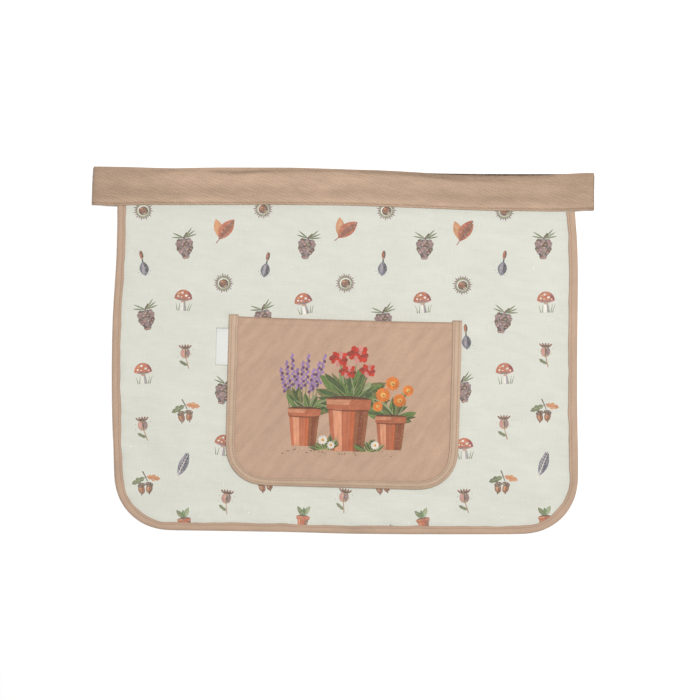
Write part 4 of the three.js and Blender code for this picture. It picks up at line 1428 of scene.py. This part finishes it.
# Each row comes with whether it faces down
def sewRows(name, rows, sewn):
    chance = random.Random(sewn["seed"])
    sides, radius, form = thread["sides"], thread["radius"], thread["form"]
    turns = [fullTurn * k / sides for k in range(sides)]
    points, faces, cloth, paintedShading = [], [], [], []
    for row, down in rows:
        along = lengthsAlong(row)
        count = int(along[-1] / sewn["pitch"])
        places = (np.arange(count) + 0.5) * along[-1] / count
        spots = np.stack([np.interp(places, along, column) for column in row.T], axis=1)
        for spot, way in zip(spots, aheadOn(spots)):
            angle = chance.uniform(-thread["stray"], thread["stray"])
            way = np.array((way[0] - angle * way[1], way[1] + angle * way[0], way[2]))
            across = np.array((-way[1], way[0], 0))
            reach = sewn["length"] / 2 * chance.uniform(1 - thread["uneven"], 1 + thread["uneven"])
            faces += ringFaces(len(form), sides, len(points))
            for t, thick in form.items():
                rise = (thread["rise"] - thread["dip"] * t * t) * (-1 if down else 1)
                core = spot + way * t * reach + (0, 0, rise)
                for k, turn in enumerate(turns):
                    out = across * math.cos(turn) + (0, 0, math.sin(turn))
                    points.append(core + out * radius * thick)
                    cloth.append((t * reach + thread["apart"] * len(points), k * radius))
                    # Painted shade, darker towards both ends where the stitch dips into the cloth
                    paintedShading.append(t * t)
    return meshOf(name, points, faces, cloth, paintedShading)


panelSewing = sewRows("panelSewing", [(panelRows[0], False), (panelRows[1], True)], thread["panelRows"])
pocketSewing = sewRows("pocketSewing", [(pocketRows[0], False), (pocketRows[2], False), (hemRow, False)],
                       thread["pocketRows"])
beltSewing = sewRows("beltSewing", [(beltRow, False), (tieRows[0], True), (tieRows[1], True)],
                     thread["beltRows"])
print("seams sewn")


# Finishes; each piece hangs on the root body and hides the frame node it stands for
binding = {
    "paleDye": (205, 177, 153),
    "finish": {
        "dye": (193, 165, 143), "relief": 0.5,
        "threads": {"Pitch": 1.5, "Lean": 45, "Contrast": 0.035, "Streaks": 0.1},
        "patches": {"Lean": 6, "Amount": 0.26}, "shadeAndWear": {"Darker": 0.17, "Rougher": 0.05},
    },
}
twillFinish = clothFinish("beltTwill", belt["finish"])
tapeFinish = clothFinish("bindingTwill", binding["finish"])
paleTapeFinish = clothFinish("pocketBindingTwill", {**binding["finish"], "dye": binding["paleDye"]})
panelFinish = clothFinish("panelCotton", panel["finish"])
pocketFinish = clothFinish("pocketTwill", pocket["finish"])
labelFinish = clothFinish("labelRibbonCloth", label["finish"])
threadFinish = clothFinish("sewingThread", thread["finish"])
finishPiece(panelSheet, panelFinish, "apron_panel")
finishPiece(panelTape, tapeFinish, "panel_binding")
finishPiece(pocketSheet, pocketFinish, "pocket_panel")
finishPiece(pocketTape, paleTapeFinish, "pocket_binding")
finishPiece(beltStrip, twillFinish, "waist_belt")
finishPiece(labelRibbon, labelFinish, "side_label")
finishPiece(panelSewing, threadFinish)
finishPiece(pocketSewing, threadFinish)
finishPiece(beltSewing, threadFinish)

print("finishes set")


# Studio: pale floor, a dim dome and one soft light from the upper right
studio = {
    "aim": (8.8, 0.3), "wide": 875, "lens": 85, "sensor": 36, "lift": 5, "dome": 0.22,
    "floor": {"half": 14000, "drop": 0.2, "pale": 0.97, "roughness": 0.9, "gloss": 0.1, "glow": 0.08},
    "key": {"spot": (450, 500, 3000), "size": 1300, "power": 88},
}


def makeStudio():
    form, key, scene = studio["floor"], studio["key"], bpy.context.scene
    half = form["half"] * mm
    floorMesh = bpy.data.meshes.new("floor")
    corners = [(-half, -half, 0), (half, -half, 0), (half, half, 0), (-half, half, 0)]
    floorMesh.from_pydata(corners, [], [[0, 1, 2, 3]])
    floor = addObject("floor", floorMesh)
    floor.location.z = -form["drop"] * mm
    paper, _, _ = newMaterial("palePaper", {
        "Base Color": (form["pale"],) * 3 + (1,), "Roughness": form["roughness"],
        "Specular IOR Level": form["gloss"],
        "Emission Color": (1, 1, 1, 1), "Emission Strength": form["glow"],
    })
    floorMesh.materials.append(paper)
    scene.world = bpy.data.worlds.new("dome")
    scene.world.use_nodes = True
    sky = scene.world.node_tree.nodes["Background"].inputs
    sky["Color"].default_value = (1, 1, 1, 1)
    sky["Strength"].default_value = studio["dome"]
    lamp = bpy.data.lights.new("keyLight", "AREA")
    lamp.energy = key["power"]
    lamp.size = key["size"] * mm
    light = addObject("keyLight", lamp)
    light.location = Vector(key["spot"]) * mm
    light.rotation_euler = (-light.location).to_track_quat("-Z", "Y").to_euler()
    lens = bpy.data.cameras.new("camera")
    lens.lens = studio["lens"]
    lens.sensor_width = studio["sensor"]
    scene.camera = addObject("camera", lens)
    height = studio["wide"] / studio["sensor"] * studio["lens"] + studio["lift"]
    scene.camera.location = Vector((*studio["aim"], height)) * mm
    scene.view_settings.view_transform = "Standard"


makeStudio()
print("studio set")
